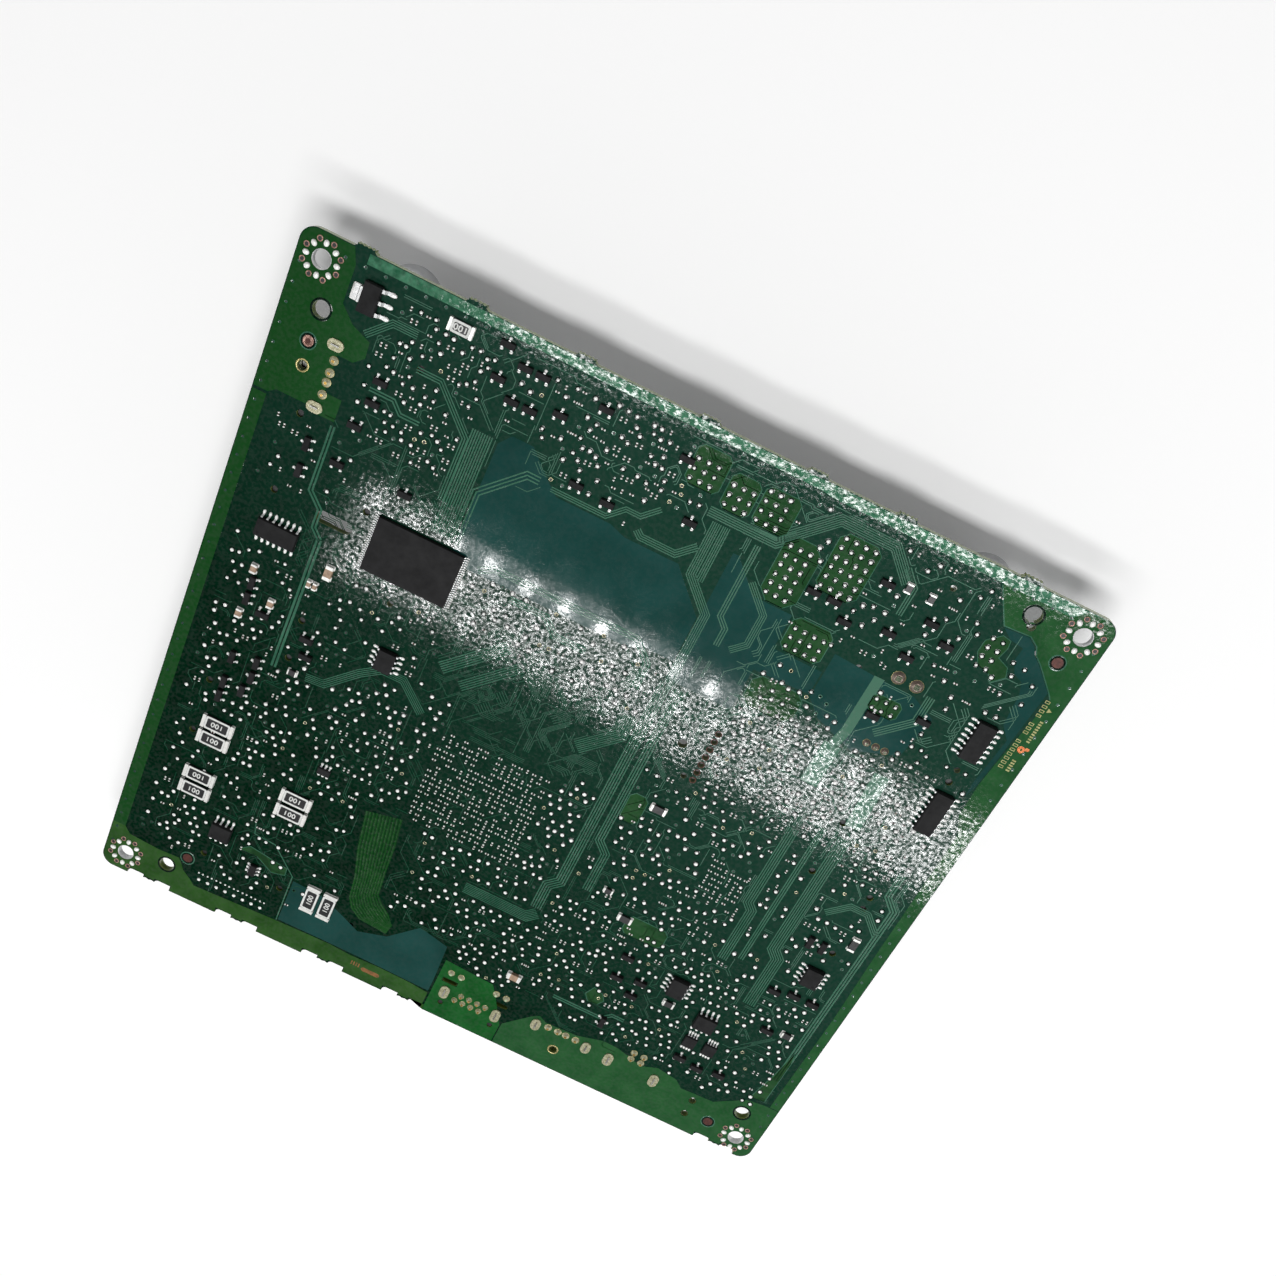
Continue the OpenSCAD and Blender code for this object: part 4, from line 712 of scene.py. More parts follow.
def middle(box):
    return (box[0] + box[1]) / 2


def centre_of(low, high):
    return (low.x + high.x) / 2, (low.y + high.y) / 2


def nearest(spot, boxes):
    return min(boxes, key=lambda b: (middle(b) - spot).length)


for body, feet in BODIES_AND_FEET:
    body_size = body_boxes[body][0][1] - body_boxes[body][0][0]
    for low, high in foot_boxes[feet]:
        centre, size = middle((low, high)), high - low
        away = centre - middle(nearest(centre, body_boxes[body]))
        if feet in LONG_FEET:
            along_x = size.x > size.y
        else:
            along_x = abs(away.x) / body_size.x > abs(away.y) / body_size.y
        length, width = (size.x, size.y) if along_x else (size.y, size.x)
        outward = high if (away.x if along_x else away.y) > 0 else low
        x, y = (outward.x, centre.y) if along_x else (centre.x, outward.y)
        reach = FINE_DROP if feet == "flash_memory_leads" else (0.5 * length, 0.5 * width + SPREAD)
        squash = reach if along_x else reach[::-1]
        if width > WIDE_TAB:
            tab = rectangle(low.x - 0.35, low.y - 0.1, high.x, high.y + 0.1, 0.15)
            joints.add(*slab(tab, TOP + SKIN, 0.22))
        else:
            joints.add(*dome(x, y, TOP + SKIN, 1, 0.3, 10, squash))
        top_room.take(x, y, squash[0] + 0.3, squash[1] + 0.3)
    for low, high in body_boxes[body]:
        top_room.take_box(low.x - 0.3, low.y - 0.3, high.x + 0.3, high.y + 0.3)
for node in CAPPED:
    for low, high in cap_boxes[node]:
        lip = 0.04 if node == "sense_resistor_ends" else 0.15
        joints.add(*slab(box_round(low, high, lip, 0.1), TOP + SKIN, 0.16))
        x, y = centre_of(low, high)
        top_room.take(x, y, (high.x - low.x) / 2 + 1.2, (high.y - low.y) / 2 + 0.4)
joints.piece("solder_joints", solder, "solder", smooth=True)

# %% [markdown]
# The current-sensing resistors carry a white printed frame and their value in plain digits. The print
# is a thin film on the glaze. Each digit is drawn as strokes, as on a drawing, and the film gets a
# hair of thickness. Some of the parts were placed head to tail.

# %% Print on the resistors
prints = Pile()
FRAME_CUT = 0.3
FRAME_INSET = 0.03
FRAME_LINE = 0.45
STROKE = 0.24
FILM = 0.012
DIGIT_PITCH = 0.95
ZERO = [(0, -0.55), (-0.3, -0.3), (-0.3, 0.3), (0, 0.55), (0.3, 0.3), (0.3, -0.3), (0, -0.55)]
DIGIT_STROKES = {"1": [[(-0.05, -0.55), (-0.05, 0.55)]], "0": [ZERO]}
HEAD_TO_TAIL = (-29.4, -43.3, -38.2)


def printed_value(x, y, z, value, quarter_turns):
    """The value's digits round a centre, turned by quarter turns."""
    a = quarter_turns * math.pi / 2
    ca, sa = round(math.cos(a)), round(math.sin(a))
    for place, digit in enumerate(value):
        shift = (place - (len(value) - 1) / 2) * DIGIT_PITCH
        for stroke in DIGIT_STROKES[digit]:
            route = [(x + (px + shift) * ca - py * sa, y + (px + shift) * sa + py * ca)
                     for px, py in stroke]
            prints.add(*ribbon(route, STROKE, z, FILM))


for low, high in solids_in("sense_resistors"):
    x, y = centre_of(low, high)
    outer = box_round(low, high, -FRAME_INSET, FRAME_CUT)
    inner = box_round(low, high, -FRAME_INSET - FRAME_LINE, 0.6 * FRAME_CUT)
    prints.add(*plate(outer, [inner], high.z + 0.004, FILM))
    if high.x - low.x > high.y - low.y:
        turns = 2 if y > 60 or round(y, 1) in HEAD_TO_TAIL else 0
    else:
        turns = 1
    printed_value(x, y, high.z + 0.004, "100", turns)
prints.piece("resistor_print", white_print, "resistor_glaze")

# %% [markdown]
# The four mounting holes carry the card's earth. Each has eight drops of solder on a circle, which
# bite into the metal of the chassis, and eight small plated holes between them. The hole itself is
# plated through, so a thin tinned tube lines it.

# %% Mounting holes
HOLE_INSET = 5
HOLE_RADIUS = 1.9
DROPS = 8
DROP_CIRCLE = 3.05
VIA_CIRCLE = 3.65
hole_drops, hole_vias, earth_vias, masked_vias, via_hole_shade, barrels = (Pile() for _ in range(6))


def open_via(x, y, outer, inner, z, rings):
    """A plated hole that stayed open: its ring goes to a pile, and a black disc in its mouth is painted
    shade for the open hole.
    """
    rings.add(*ring(x, y, z + SKIN, outer, inner, 0.05, 12))
    via_hole_shade.add(*stack_of_circles(x, y, [(inner + 0.02, z + 0.002), (inner + 0.02, z + 0.012)], 10))


for side_x in (-1, 1):
    for side_y in (-1, 1):
        cx, cy = side_x * (HALF_W - HOLE_INSET), side_y * (HALF_D - HOLE_INSET)
        top_room.take(cx, cy, 4.8)
        for i in range(DROPS):
            a = turn_of(i, DROPS)
            place = spoke(cx, cy, DROP_CIRCLE, a)
            hole_drops.add(*dome(*place, TOP + COPPER, 1, 0.36, 14, (0.66, 0.54), a))
            between = spoke(cx, cy, VIA_CIRCLE, a + math.pi / DROPS)
            open_via(*between, 0.6, 0.38, TOP + COPPER, earth_vias)
        lining = HOLE_RADIUS - 0.02
        barrels.add(*plate(circle(cx, cy, lining, 32), [circle(cx, cy, lining - 0.05, 32)],
                           UNDER, TOP - UNDER + 0.01))
print("mounting holes: 4")

# %% [markdown]
# Pads whose pins go through the card keep a tinned ring. The ports have round rings at their pins and
# ovals at their shell legs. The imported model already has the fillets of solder, so only the flat
# rings of the pads are added under them.

# %% Pads round the pins
pads = Pile()
for low, high in solids_in("pin_solder"):
    x, y = centre_of(low, high)
    wide, deep = high.x - low.x, high.y - low.y
    size = max(wide, deep)
    squash = (wide / size, deep / size)
    pads.add(*ring(x, y, TOP + 0.002, size / 2 + 0.05, size / 2 - 0.2, 0.05, 18, squash))
    top_room.take(x, y, size / 2 + 0.5)
print("pin pads:", len(pads.faces), "faces")

# %% [markdown]
# Fiducials are bare discs in a window of the mask, which the placing machine looks for. Rows of small
# plated holes along the edges stitch the earth copper of all layers together. Both are rings and
# discs from the helpers above, placed by short loops.

# %% Fiducials and stitching holes
FIDUCIALS = [(-75.6, 57.1), (76.7, 65.4), (-64.3, -65.9), (70.3, -71.2)]
fiducial_discs, fiducial_rims, windows = Pile(), Pile(), Pile()
for x, y in FIDUCIALS:
    fiducial_rims.add(*ring(x, y, TOP + COPPER, 1.72, 1.48, 0.02, 28))
    windows.add(*ring(x, y, TOP + COPPER, 1.48, 1.1, 0.008, 28))
    fiducial_discs.add(*stack_of_circles(x, y, [(1.1, TOP + COPPER), (1.08, TOP + COPPER + 0.02)], 24))
    if x < -70:
        earth_vias.add(*ring(x, y, TOP + COPPER + 0.02, 1.12, 0.5, 0.02, 24))
    top_room.take(x, y, 2)

STITCH = 4.0
for step in range(36):
    open_via(-81.7, -70 + STITCH * step, 0.34, 0.17, TOP + COPPER, masked_vias)
    open_via(81.4, -70 + STITCH * step, 0.34, 0.17, TOP + COPPER, masked_vias)
for step in range(38):
    open_via(-74 + STITCH * step, 74.3, 0.38, 0.22, TOP + COPPER, masked_vias)
print("fiducials:", len(FIDUCIALS))

# %% [markdown]
# Connectors' pegs and guides leave bare holes open, and the tooling holes near the corners stay open
# too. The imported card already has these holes. Here they're listed with their radii, so that the
# copper areas can be cut round them and no dot or trace covers them.

# %% Holes left open
PEG_HOLES = [(-72.7, 43.3), (-72.7, 26.8), (-54.4, 61.9), (-54.2, 30.8), (-58.75, 2.6), (-58.75, -6.3),
             (-72.6, -19.5), (-72.7, -33.3), (72.5, 33.6), (59, 15.3), (58.6, 1.5), (72.4, 1.9),
             (72.4, -1.3), (72.3, -14.4), (-24.5, -63.5), (-61.5, -62.5), (-42.3, -62.6),
             (-37.8, -63.5), (-43.4, 15.1), (52.2, 69.4), (44.7, 47), (72.3, 36.7), (68.6, 69.4),
             (72.6, 65.2), (64.5, -67.5), (64.5, -71.9), (21.9, 15.5), (25.3, 8.9)]
GUIDE_HOLES = [(68.6, 69.4), (72.6, 65.2), (64.5, -67.5), (64.5, -71.9)]
HEADER_HOLES = [(27.4, 8.9 + 2 * i) for i in range(7)]
TOOLING_HOLES = [(-75.2, 63.6), (67.8, 71.6), (-68.3, -70.1), (75.9, -64.6)]
RINGED_HOLES = [(30.1, -71.3), (-75.2, 52.3)]
OPEN_HOLES = [(x, y, 1.78) for x, y in TOOLING_HOLES]
OPEN_HOLES += [(sx * (HALF_W - HOLE_INSET), sy * (HALF_D - HOLE_INSET), HOLE_RADIUS + 0.05)
               for sx in (-1, 1) for sy in (-1, 1)]
OPEN_HOLES += [(x, y, 0.93) for x, y in GUIDE_HOLES]
OPEN_HOLES += [(x, y, 0.95) for x, y in RINGED_HOLES] + [(1.7, -72.7, 0.65), (14.3, -72.7, 0.65)]
header_rings = Pile()
for x, y in PEG_HOLES + HEADER_HOLES:
    top_room.take(x, y, 1.3)
for x, y in HEADER_HOLES:
    header_rings.add(*ring(x, y, TOP + 0.002, 0.76, 0.56, 0.03, 18))
for x, y in RINGED_HOLES:
    pads.add(*ring(x, y, TOP + COPPER, 1.35, 0.97, 0.04, 20))
for x, y in TOOLING_HOLES:
    windows.add(*ring(x, y, TOP + COPPER, 2.15, 1.78, 0.008, 28))
    top_room.take(x, y, 2.4)
print("open holes:", len(OPEN_HOLES) + len(PEG_HOLES + HEADER_HOLES) - len(GUIDE_HOLES))

# %% [markdown]
# Copper pours are wide areas of copper under the mask: the earth strip round the card's edge, the
# chassis area at the ports and the supply islands near the power parts. Each is a thin patch with the
# outline that its designer drew, made of straight lines and 45 degree corners.

# %% The border round tabs and corners
LIP = 0.15
CORNER_RADIUS = 3
left, right, front, rear = -HALF_W + LIP, HALF_W - LIP, -HALF_D + LIP, HALF_D - LIP
TABS = [-71.1, -49.1, -27.2, -6.7, 74.3]


def front_line(start, end):
    """The copper's border along the front edge, from left to right, round the tabs and notches."""
    notch, stub = front + 1.35, front + 0.85
    line = [(start, front)]
    for x in TABS:
        if start < x < end:
            line += [(x - 5.2 - LIP, front), (x - 5.2 - LIP, notch), (x - 1.4 + LIP, notch),
                     (x - 1.4 + LIP, stub), (x + 1.4 - LIP, stub), (x + 1.4 - LIP, notch),
                     (x + 5.2 + LIP, notch), (x + 5.2 + LIP, front)]
    return line + [(end, front)]


def corner(x, y, first):
    """Five points round a corner of the card, counter-clockwise from a quarter turn."""
    cx, cy = math.copysign(HALF_W - CORNER_RADIUS, x), math.copysign(HALF_D - CORNER_RADIUS, y)
    return [spoke(cx, cy, CORNER_RADIUS - LIP, turn_of(first + i / 4, 4)) for i in range(5)]


print("tabs on the front edge:", len(TABS))

# %% [markdown]
# The outlines themselves are lists of corners, as a designer's drawing would give them. Each list is
# counter-clockwise. The earth copper hugs the edges, the planes are buried layers that show through
# the mask, and the small islands feed the power parts.

# %% Outlines of the copper
FRONT_POUR = [(-79.9, -65), (left, -65)] + corner(-1, -1, 2) + front_line(-79, -1.9)[1:] + [
    (-1.9, -71.8), (-6.6, -71.3), (-14.3, -71.1), (-22.2, -71.4), (-27, -71), (-40.6, -71.4),
    (-60.9, -72.4), (-62.4, -71), (-64.3, -69.6), (-65.4, -67.8), (-66.2, -66.8), (-70.9, -67.1),
    (-78.4, -66.6)]
REAR_BORDER = [(79.6, 58.2), (78.7, 59.3), (74.3, 63.5), (72.5, 64.9), (71.6, 66.5), (69.6, 67.7),
               (64.2, 67.3), (61.5, 71.4), (59.7, 74.2)]
RIGHT_POUR = [(80.6, -59.6), (right, -59.6)] + corner(1, 1, 0) + [(60, rear), (59.7, 74.2)] \
    + REAR_BORDER[::-1][1:] + [(78, 41.9), (77.6, 36), (77.8, 28), (80, 24), (80.4, -11), (80.9, -30)]
RIM = [(-70, 74.9), (22, 74.9), (24, 74.6), (74, 74.4), (76.2, 76.6), (79.8, 76.8), (80.4, rear),
       (-70, rear)]
PLANES = [
    [(-36, 30.6), (-34.5, 29.4), (3, 29.4), (6, 31), (12.4, 31), (12.4, 41.5), (6.5, 47.6), (4.5, 49.8),
     (-7, 49.8), (-10.5, 51), (-22, 51), (-25, 53.6), (-29.6, 58), (-34, 58), (-36, 55.5), (-36, 47)],
    [(-40.2, -70.9), (-28.1, -70.8), (-14.3, -70.9), (-2, -71.2), (-2, -67.3), (-2.5, -57.3), (-9.8, -55.6),
     (-15.9, -62), (-22.5, -64.2), (-27, -62), (-33, -59.4), (-40.2, -59)],
    [(66.6, 65.4), (69.6, 65), (69.5, 62.2), (71, 59.7), (73, 58.9), (74.1, 56.3), (74.8, 49.6),
     (77.2, 46.9), (76.4, 36), (76.6, 32), (77.3, 35.2), (77.8, 41.9), (78.5, 59.2), (74, 63.4),
     (72.2, 64.8),
     (71.3, 66.2), (69.5, 67.4), (64.4, 67)],
    [(12.8, 27), (27, 27), (27, 37), (39, 37.4), (39, 42.8), (28.4, 42.8), (28.4, 50.6), (20, 50.6),
     (14, 56.6), (12.8, 56.6)],
    [(39.4, 37), (43, 33.6), (52, 30.4), (61, 34), (62.6, 44), (57, 46.6), (50, 46.8), (39.4, 47.4)],
]
CHASSIS_AREAS = [
    RIGHT_POUR,
    [(-79.9, 44), (left, 44), (left, -65), (-79.9, -65)],
    front_line(16.7, 79) + corner(1, -1, 3) + [(right, -59.8), (79.4, -59.8), (75.1, -60.5), (68.7, -65.2),
     (60.6, -65.6), (58.6, -63.9), (53.5, -63.1), (49.6, -64.8), (46.9, -63.8), (42.9, -62.8),
     (39.3, -62.7), (33.3, -64.6), (25.6, -65), (23.6, -63.9), (21.9, -65.2), (16.7, -70.8)],
    [(-79.8, 44.6), (-78.4, 45.7), (-70.9, 45.7), (-70.5, 44.8), (-66.1, 44.8), (-66.1, 49.4),
     (-69.6, 49.4), (-69.6, 57.1), (-66.5, 57.1), (-64.6, 58.8), (-64.8, 62), (-68.8, 63.6),
     (-71.8, 66.5), (-71.8, 73.8), (-73, rear)] + corner(-1, 1, 1) + [(left, 44.6)],
]
JACK_AREA = [(-1.4, front), (16.4, front), (16.4, -71.4), (12.2, -63.8), (10.7, -61.5), (-1.4, -60.8)]
SUPPLY_ISLANDS = [
    rectangle(-2, 65, 5, 73, 1), rectangle(6, 63.5, 12, 71, 1), rectangle(12.7, 63.5, 20, 71.5, 1),
    rectangle(20.4, 51, 28, 65, 2), rectangle(29, 57.6, 37.6, 70, 1.4),
    rectangle(29, 43.4, 37.6, 51, 1.2),
    [(64, 58.2), (66.7, 57.5), (67.9, 56.1), (70, 58.3), (69.2, 60.2), (66.7, 61.2), (67.2, 63.6),
     (66.9, 65.2), (65.1, 65.5), (62.7, 63.2), (62.6, 60.6)],
    rectangle(50, 40, 56.3, 44, 0.8), rectangle(27.8, 29.5, 38.8, 36.6, 1.6),
    rectangle(17.6, -7, 21.7, 0.3, 1), rectangle(30, -33, 39.7, -28, 1),
    [(-54.2, -57.1), (-49.8, -57), (-45.6, -59.4), (-42.5, -58.6), (-42.6, -56.6), (-52, -55.2)],
    [(31.5, -54.2), (33.7, -54), (34.7, -52.3), (33.7, -50.7), (31.3, -49.9), (30.2, -52.5)],
    [(75.4, -59.2), (78.8, -58.8), (78.9, -46), (78.2, -42.4), (77.2, -50)],
]
OPEN_BORDER = [(-52.9, -47.9), (-52.1, -51.5), (-47, -51.9), (-40.8, -58), (-40.6, -71.2)]
PORT_SLOTS = [rectangle(x - 1.9, -66.7, x + 1.9, -65.5) for x in (1.6, 14.4)]
print("copper outlines:", 3 + len(CHASSIS_AREAS) + len(PLANES) + len(SUPPLY_ISLANDS))

# %% [markdown]
# An outline becomes a thin plate. Holes that lie inside it have to stay open, so a point-in-outline
# test picks them first. Modelling the patches keeps their edges crisp in a close view, which a
# painted colour wouldn't do. The islands and two borders also get a fine raised rim in a paler green,
# which is a painted highlight along the copper's edge.

# %% Copper areas
edge_copper, chassis_copper, jack_copper, island_copper = (Pile() for _ in range(4))
plane_copper, rim_copper, pour_rims = (Pile() for _ in range(3))


def inside_of(x, y, outline):
    """Whether a point lies in an outline, by counting the sides that a line to its right meets."""
    crossed = False
    for (x0, y0), (x1, y1) in zip(outline, outline[1:] + outline[:1]):
        if (y0 > y) != (y1 > y) and x < x0 + (y - y0) * (x1 - x0) / (y1 - y0):
            crossed = not crossed
    return crossed


def with_holes(outline, thickness):
    """The copper area with every open hole inside it left open."""
    holes = [circle(x, y, r) for x, y, r in OPEN_HOLES] + PORT_SLOTS
    holes = [hole for hole in holes if all(inside_of(x, y, outline) for x, y in hole)]
    return plate(outline, holes, TOP, thickness)


for pile, areas, thickness in ((edge_copper, [FRONT_POUR], COPPER), (chassis_copper, CHASSIS_AREAS, COPPER),
                               (jack_copper, [JACK_AREA], COPPER), (plane_copper, PLANES, 0.4 * COPPER),
                               (rim_copper, [RIM], 1.1 * COPPER)):
    for outline in areas:
        pile.add(*with_holes(outline, thickness))
for outline in SUPPLY_ISLANDS:
    island_copper.add(*slab(outline, TOP, COPPER))
    pour_rims.add(*ribbon(outline + outline[:2], 0.2, TOP, 1.3 * COPPER))
for route in (REAR_BORDER, OPEN_BORDER):
    pour_rims.add(*ribbon(route, 0.26, TOP, 1.3 * COPPER))
edge_copper.piece("edge_copper", edge_green, "laminate")
chassis_copper.piece("chassis_copper", chassis_green, "laminate")
jack_copper.piece("jack_copper", jack_green, "laminate")
pour_rims.piece("pour_rims", pale_green, "laminate")
plane_copper.piece("buried_planes", plane_green, "laminate")
rim_copper.piece("rear_rim", rear_rim_sheen_green, "laminate")
island_copper.piece("supply_islands", supply_green, "laminate")

# %% [markdown]
# Some zones stay free of dots and thin traces. The largest lies behind the memory, where only the
# buried layers carry copper. The map is told about them, and about the areas just laid.

# %% Zones without thin traces
BARE_ZONES = [(-36, 31, 13, 49), (-36, 49, -30, 58), (-29, -72, -2, -60), (-79, -66, -77.6, 44),
              (76.6, 36, 79.5, 64), (-79.8, 46, -64, 77), (16.7, -77, 83, -64.5), (-0.8, -77, 16.4, -66),
              (-83, -77, 83, -72.5), (-83, 74, 83, 77), (80, -60, 83, 70), (38, 40, 50, 47),
              (62, 67.6, 83, 77), (73, 60, 83, 68), (77, 28, 83, 62), (-83, -77, -64, -66.5),
              (-83, -77, -79.5, 77), (14, 35, 22, 47), (-18, -61, -3, -56), (-6, 43, 14, 57)]
for zone in BARE_ZONES:
    top_room.take_box(*zone)
print("bare zones:", len(BARE_ZONES))

# %% [markdown]
# The wide buses of a card are drawn by hand: a few strips side by side that turn together at 45
# degrees. `bus` takes the middle line and repeats it to both sides at one pitch.

# %% Strips side by side
buses = Pile()


def beside(route, offset):
    """The route moved sideways by offset, with its corners kept."""
    moved = []
    for i, (x, y) in enumerate(route):
        before = route[i - 1] if i else None
        after = route[i + 1] if i + 1 < len(route) else None
        dx, dy = side_step(before, (x, y), after, offset)
        moved.append((x + dx, y + dy))
    return moved


def bus(route, count, pitch, width):
    for i in range(count):
        strip = beside(route, (i - (count - 1) / 2) * pitch)
        buses.add(*ribbon(strip, width, TOP, COPPER))
        for (x0, y0), (x1, y1) in zip(strip, strip[1:]):
            steps = int(math.hypot(x1 - x0, y1 - y0) / 0.3) + 1
            for s in range(steps + 1):
                top_room.take(x0 + (x1 - x0) * s / steps, y0 + (y1 - y0) * s / steps, 0.15)


print("cells taken before the buses:", sum(top_room.taken))

# %% [markdown]
# Each bus is one line in a table: the corners of its middle line, the number of strips, their pitch
# and their width. A table is easier to correct than thirty calls, and one loop lays them all.

# %% The buses
BUSES = [
    ([(-39.3, 56), (-39.3, 33.5)], 9, 0.5, 0.26),
    ([(-61.1, 21), (-61.1, -10)], 2, 0.8, 0.5),
    ([(-54, -9), (-50, -8.6), (-44, -2.6), (-40, 0.4), (-35, 0.5), (-29, -5)], 5, 0.42, 0.2),
    ([(5, 62), (19, 62), (21, 64), (22, 65)], 5, 0.45, 0.25),
    ([(7.5, 60.5), (7.5, 49), (13.6, 42.8), (13.6, 25)], 5, 0.42, 0.22),
    ([(9.5, 60.5), (9.5, 52), (9.5, 48.5)], 4, 0.42, 0.22),
    ([(16.3, 60), (16.3, 44), (18.3, 42), (18.3, 38)], 3, 0.5, 0.26),
    ([(-5.5, 52.3), (-4.3, 51.3), (3, 51.3), (6.3, 54.6)], 4, 0.45, 0.24),
    ([(13, 63.6), (20, 63.8), (27.8, 71.6), (39, 71.6), (44.4, 66.2)], 6, 0.42, 0.2),
    ([(18.5, 53), (23.6, 47.9), (23.6, 41), (21, 38.4)], 4, 0.42, 0.22),
    ([(-26, 52.4), (-28.6, 52.4), (-36.2, 44.8), (-36.2, 33)], 3, 0.7, 0.3),
    ([(-23.5, 52), (-12, 52), (-9, 55), (-6, 55), (-3, 58)], 3, 0.45, 0.24),
    ([(-5, -40.2), (10, -40.2), (12, -38.2)], 7, 0.42, 0.22),
    ([(13.2, 26), (13.2, -28), (11, -30.2), (11, -37)], 5, 0.55, 0.26),
    ([(16.4, 26), (16.4, -14), (19, -16.6), (19, -27)], 4, 0.55, 0.26),
    ([(50.8, 9), (50.8, -12), (52.4, -13.6), (52.4, -28)], 5, 0.5, 0.24),
    ([(56, 12), (56, -26)], 3, 0.5, 0.26),
    ([(61, 12), (61, -20), (63, -22), (63, -36)], 6, 0.5, 0.24),
    ([(24, -57), (36, -57), (38, -55), (41, -55)], 2, 0.6, 0.34),
    ([(75.4, 10), (75.4, 4), (78.2, 1.2), (78.2, -52)], 3, 0.6, 0.34),
    ([(-30, 30.2), (-27, 32), (4, 32), (8, 28), (8, 22)], 3, 0.6, 0.3),
    ([(-22, 27.6), (-14, 27.6), (-11, 24.6), (-4, 24.6)], 3, 0.6, 0.3),
    ([(-66, 44), (-66, 30), (-63, 27), (-63, 23), (-61, 21)], 2, 0.7, 0.4),
    ([(-62, 54), (-57, 54), (-55, 52), (-51, 52)], 2, 0.6, 0.3),
    ([(-29, 7), (-18, 18)], 6, 0.5, 0.24),
    ([(-24, 5), (-14, 15)], 5, 0.5, 0.24),
    ([(3, 4), (10, 11), (10, 16)], 7, 0.45, 0.22),
    ([(54, 36), (60, 42), (60, 48)], 4, 0.5, 0.26),
    ([(66, -6), (70, -2), (74, -2), (78, -6)], 4, 0.45, 0.24),
    ([(46, 60), (46, 66), (43, 69)], 3, 0.5, 0.24),
    ([(-66.2, 63), (-62, 67.2), (-57, 67.2)], 4, 0.42, 0.2),
    ([(-55, 61.4), (-50, 61.4), (-42, 53.4), (-42, 40)], 3, 0.5, 0.24),
]
for route, count, pitch, width in BUSES:
    bus(route, count, pitch, width)

print("buses:", len(BUSES))

# %% [markdown]
# The motors' heavy traces sweep round in nested arcs at one corner of the processor. Only the first
# and the last arc are drawn; each lane between them is a blend of the two, so the fan stays even.
# Two wider strips carry the motors' current across the card.

# %% Motor lanes and wide strips
LANES = 11
SWEEP_LEFT = [(-31.6, -33), (-30.1, -42.9), (-28.1, -50.6), (-27.4, -56.4), (-26, -59), (-23.5, -60.8),
              (-16.4, -61.4)]
SWEEP_RIGHT = [(-23.4, -31), (-22.4, -38), (-22, -45.6), (-21.4, -52.2), (-20, -54), (-17.4, -56.2),
               (-15.9, -58.6)]
lane_bed, lanes = Pile(), Pile()
lane_bed.add(*slab(SWEEP_LEFT + SWEEP_RIGHT[::-1], TOP, 0.4 * COPPER))
lane_bed.piece("lane_bed", lane_green, "laminate")
for lane in range(LANES):
    share = (lane + 0.5) / LANES
    route = [(x0 + share * (x1 - x0), y0 + share * (y1 - y0))
             for (x0, y0), (x1, y1) in zip(SWEEP_LEFT, SWEEP_RIGHT)]
    lanes.add(*ribbon(route, 0.34, TOP, COPPER))
lanes.piece("motor_lanes", sweep_green, "laminate")
WIDE_STRIPS = [([(49.3, 47), (49.2, 34), (48.4, 30)], 2.2), ([(48.4, 30), (48.2, 19.8)], 3.8),
               ([(60.3, 28.5), (60.9, 15)], 3.4)]
for route, width in WIDE_STRIPS:
    buses.add(*ribbon(route, width, TOP, COPPER))
for zone in ((-32, -50, -21.5, -31), (-29, -61.5, -20, -50), (-22, -62, -15.5, -55),
             (46.2, 19, 50.4, 30), (48, 30, 50.4, 47), (58.6, 15, 62.6, 28.6)):
    top_room.take_box(*zone)
buses.piece("bus_traces", bus_green, "laminate")

# %% [markdown]
# Now the dots. A soldered card shows three kinds: big drops on test points and through holes, pairs
# of small drops at the ends of tiny chip parts, and open vias, which are rings with a dark middle of
# painted shade.
# They stand in loose rows about two millimetres apart. A seeded random choice with a little jitter
# gives that look, and gives it again at every run.

# %% Drops and tiny chip parts
rng = random.Random(20)
big_drops, small_drops, chip_bits = Pile(), Pile(), Pile()
dot_places = []
PAIR_SPAN = 0.56


def big_drop(x, y):
    radius = rng.uniform(0.32, 0.42) + (0.05 if y < 0 else 0)
    windows.add(*ring(x, y, TOP + COPPER + 0.004, radius + 0.24, radius - 0.05, 0.006, 12))
    big_drops.add(*dome(x, y, TOP + SKIN, radius, rng.uniform(0.2, 0.3), 10))
    top_room.take(x, y, radius + 0.2)
    dot_places.append((x, y))


def chip_pair(x, y, upright):
    """A tiny chip part: a dark body between two drops of solder."""
    dx, dy = (0, PAIR_SPAN / 2) if upright else (PAIR_SPAN / 2, 0)
    squash, reach = ((0.24, 0.2), (0.13, 0.2)) if upright else ((0.2, 0.24), (0.2, 0.13))
    for side in (-1, 1):
        small_drops.add(*dome(x + side * dx, y + side * dy, TOP + SKIN, 1, 0.24, 8, squash))
    chip_bits.add(*slab(centred(x, y, *reach), TOP + SKIN, 0.2))
    top_room.take(x, y, dx + 0.3, dy + 0.3)
    dot_places.append((x, y))


print("cells taken so far:", sum(top_room.taken), "of", len(top_room.taken))

# %% [markdown]
# A field is a box with its own density: the first five numbers are its corners and spacing, and the
# last three are the shares of big drops, of chip pairs and of open vias. Each dot asks the map for
# free room before it is placed, so fields may overlap.

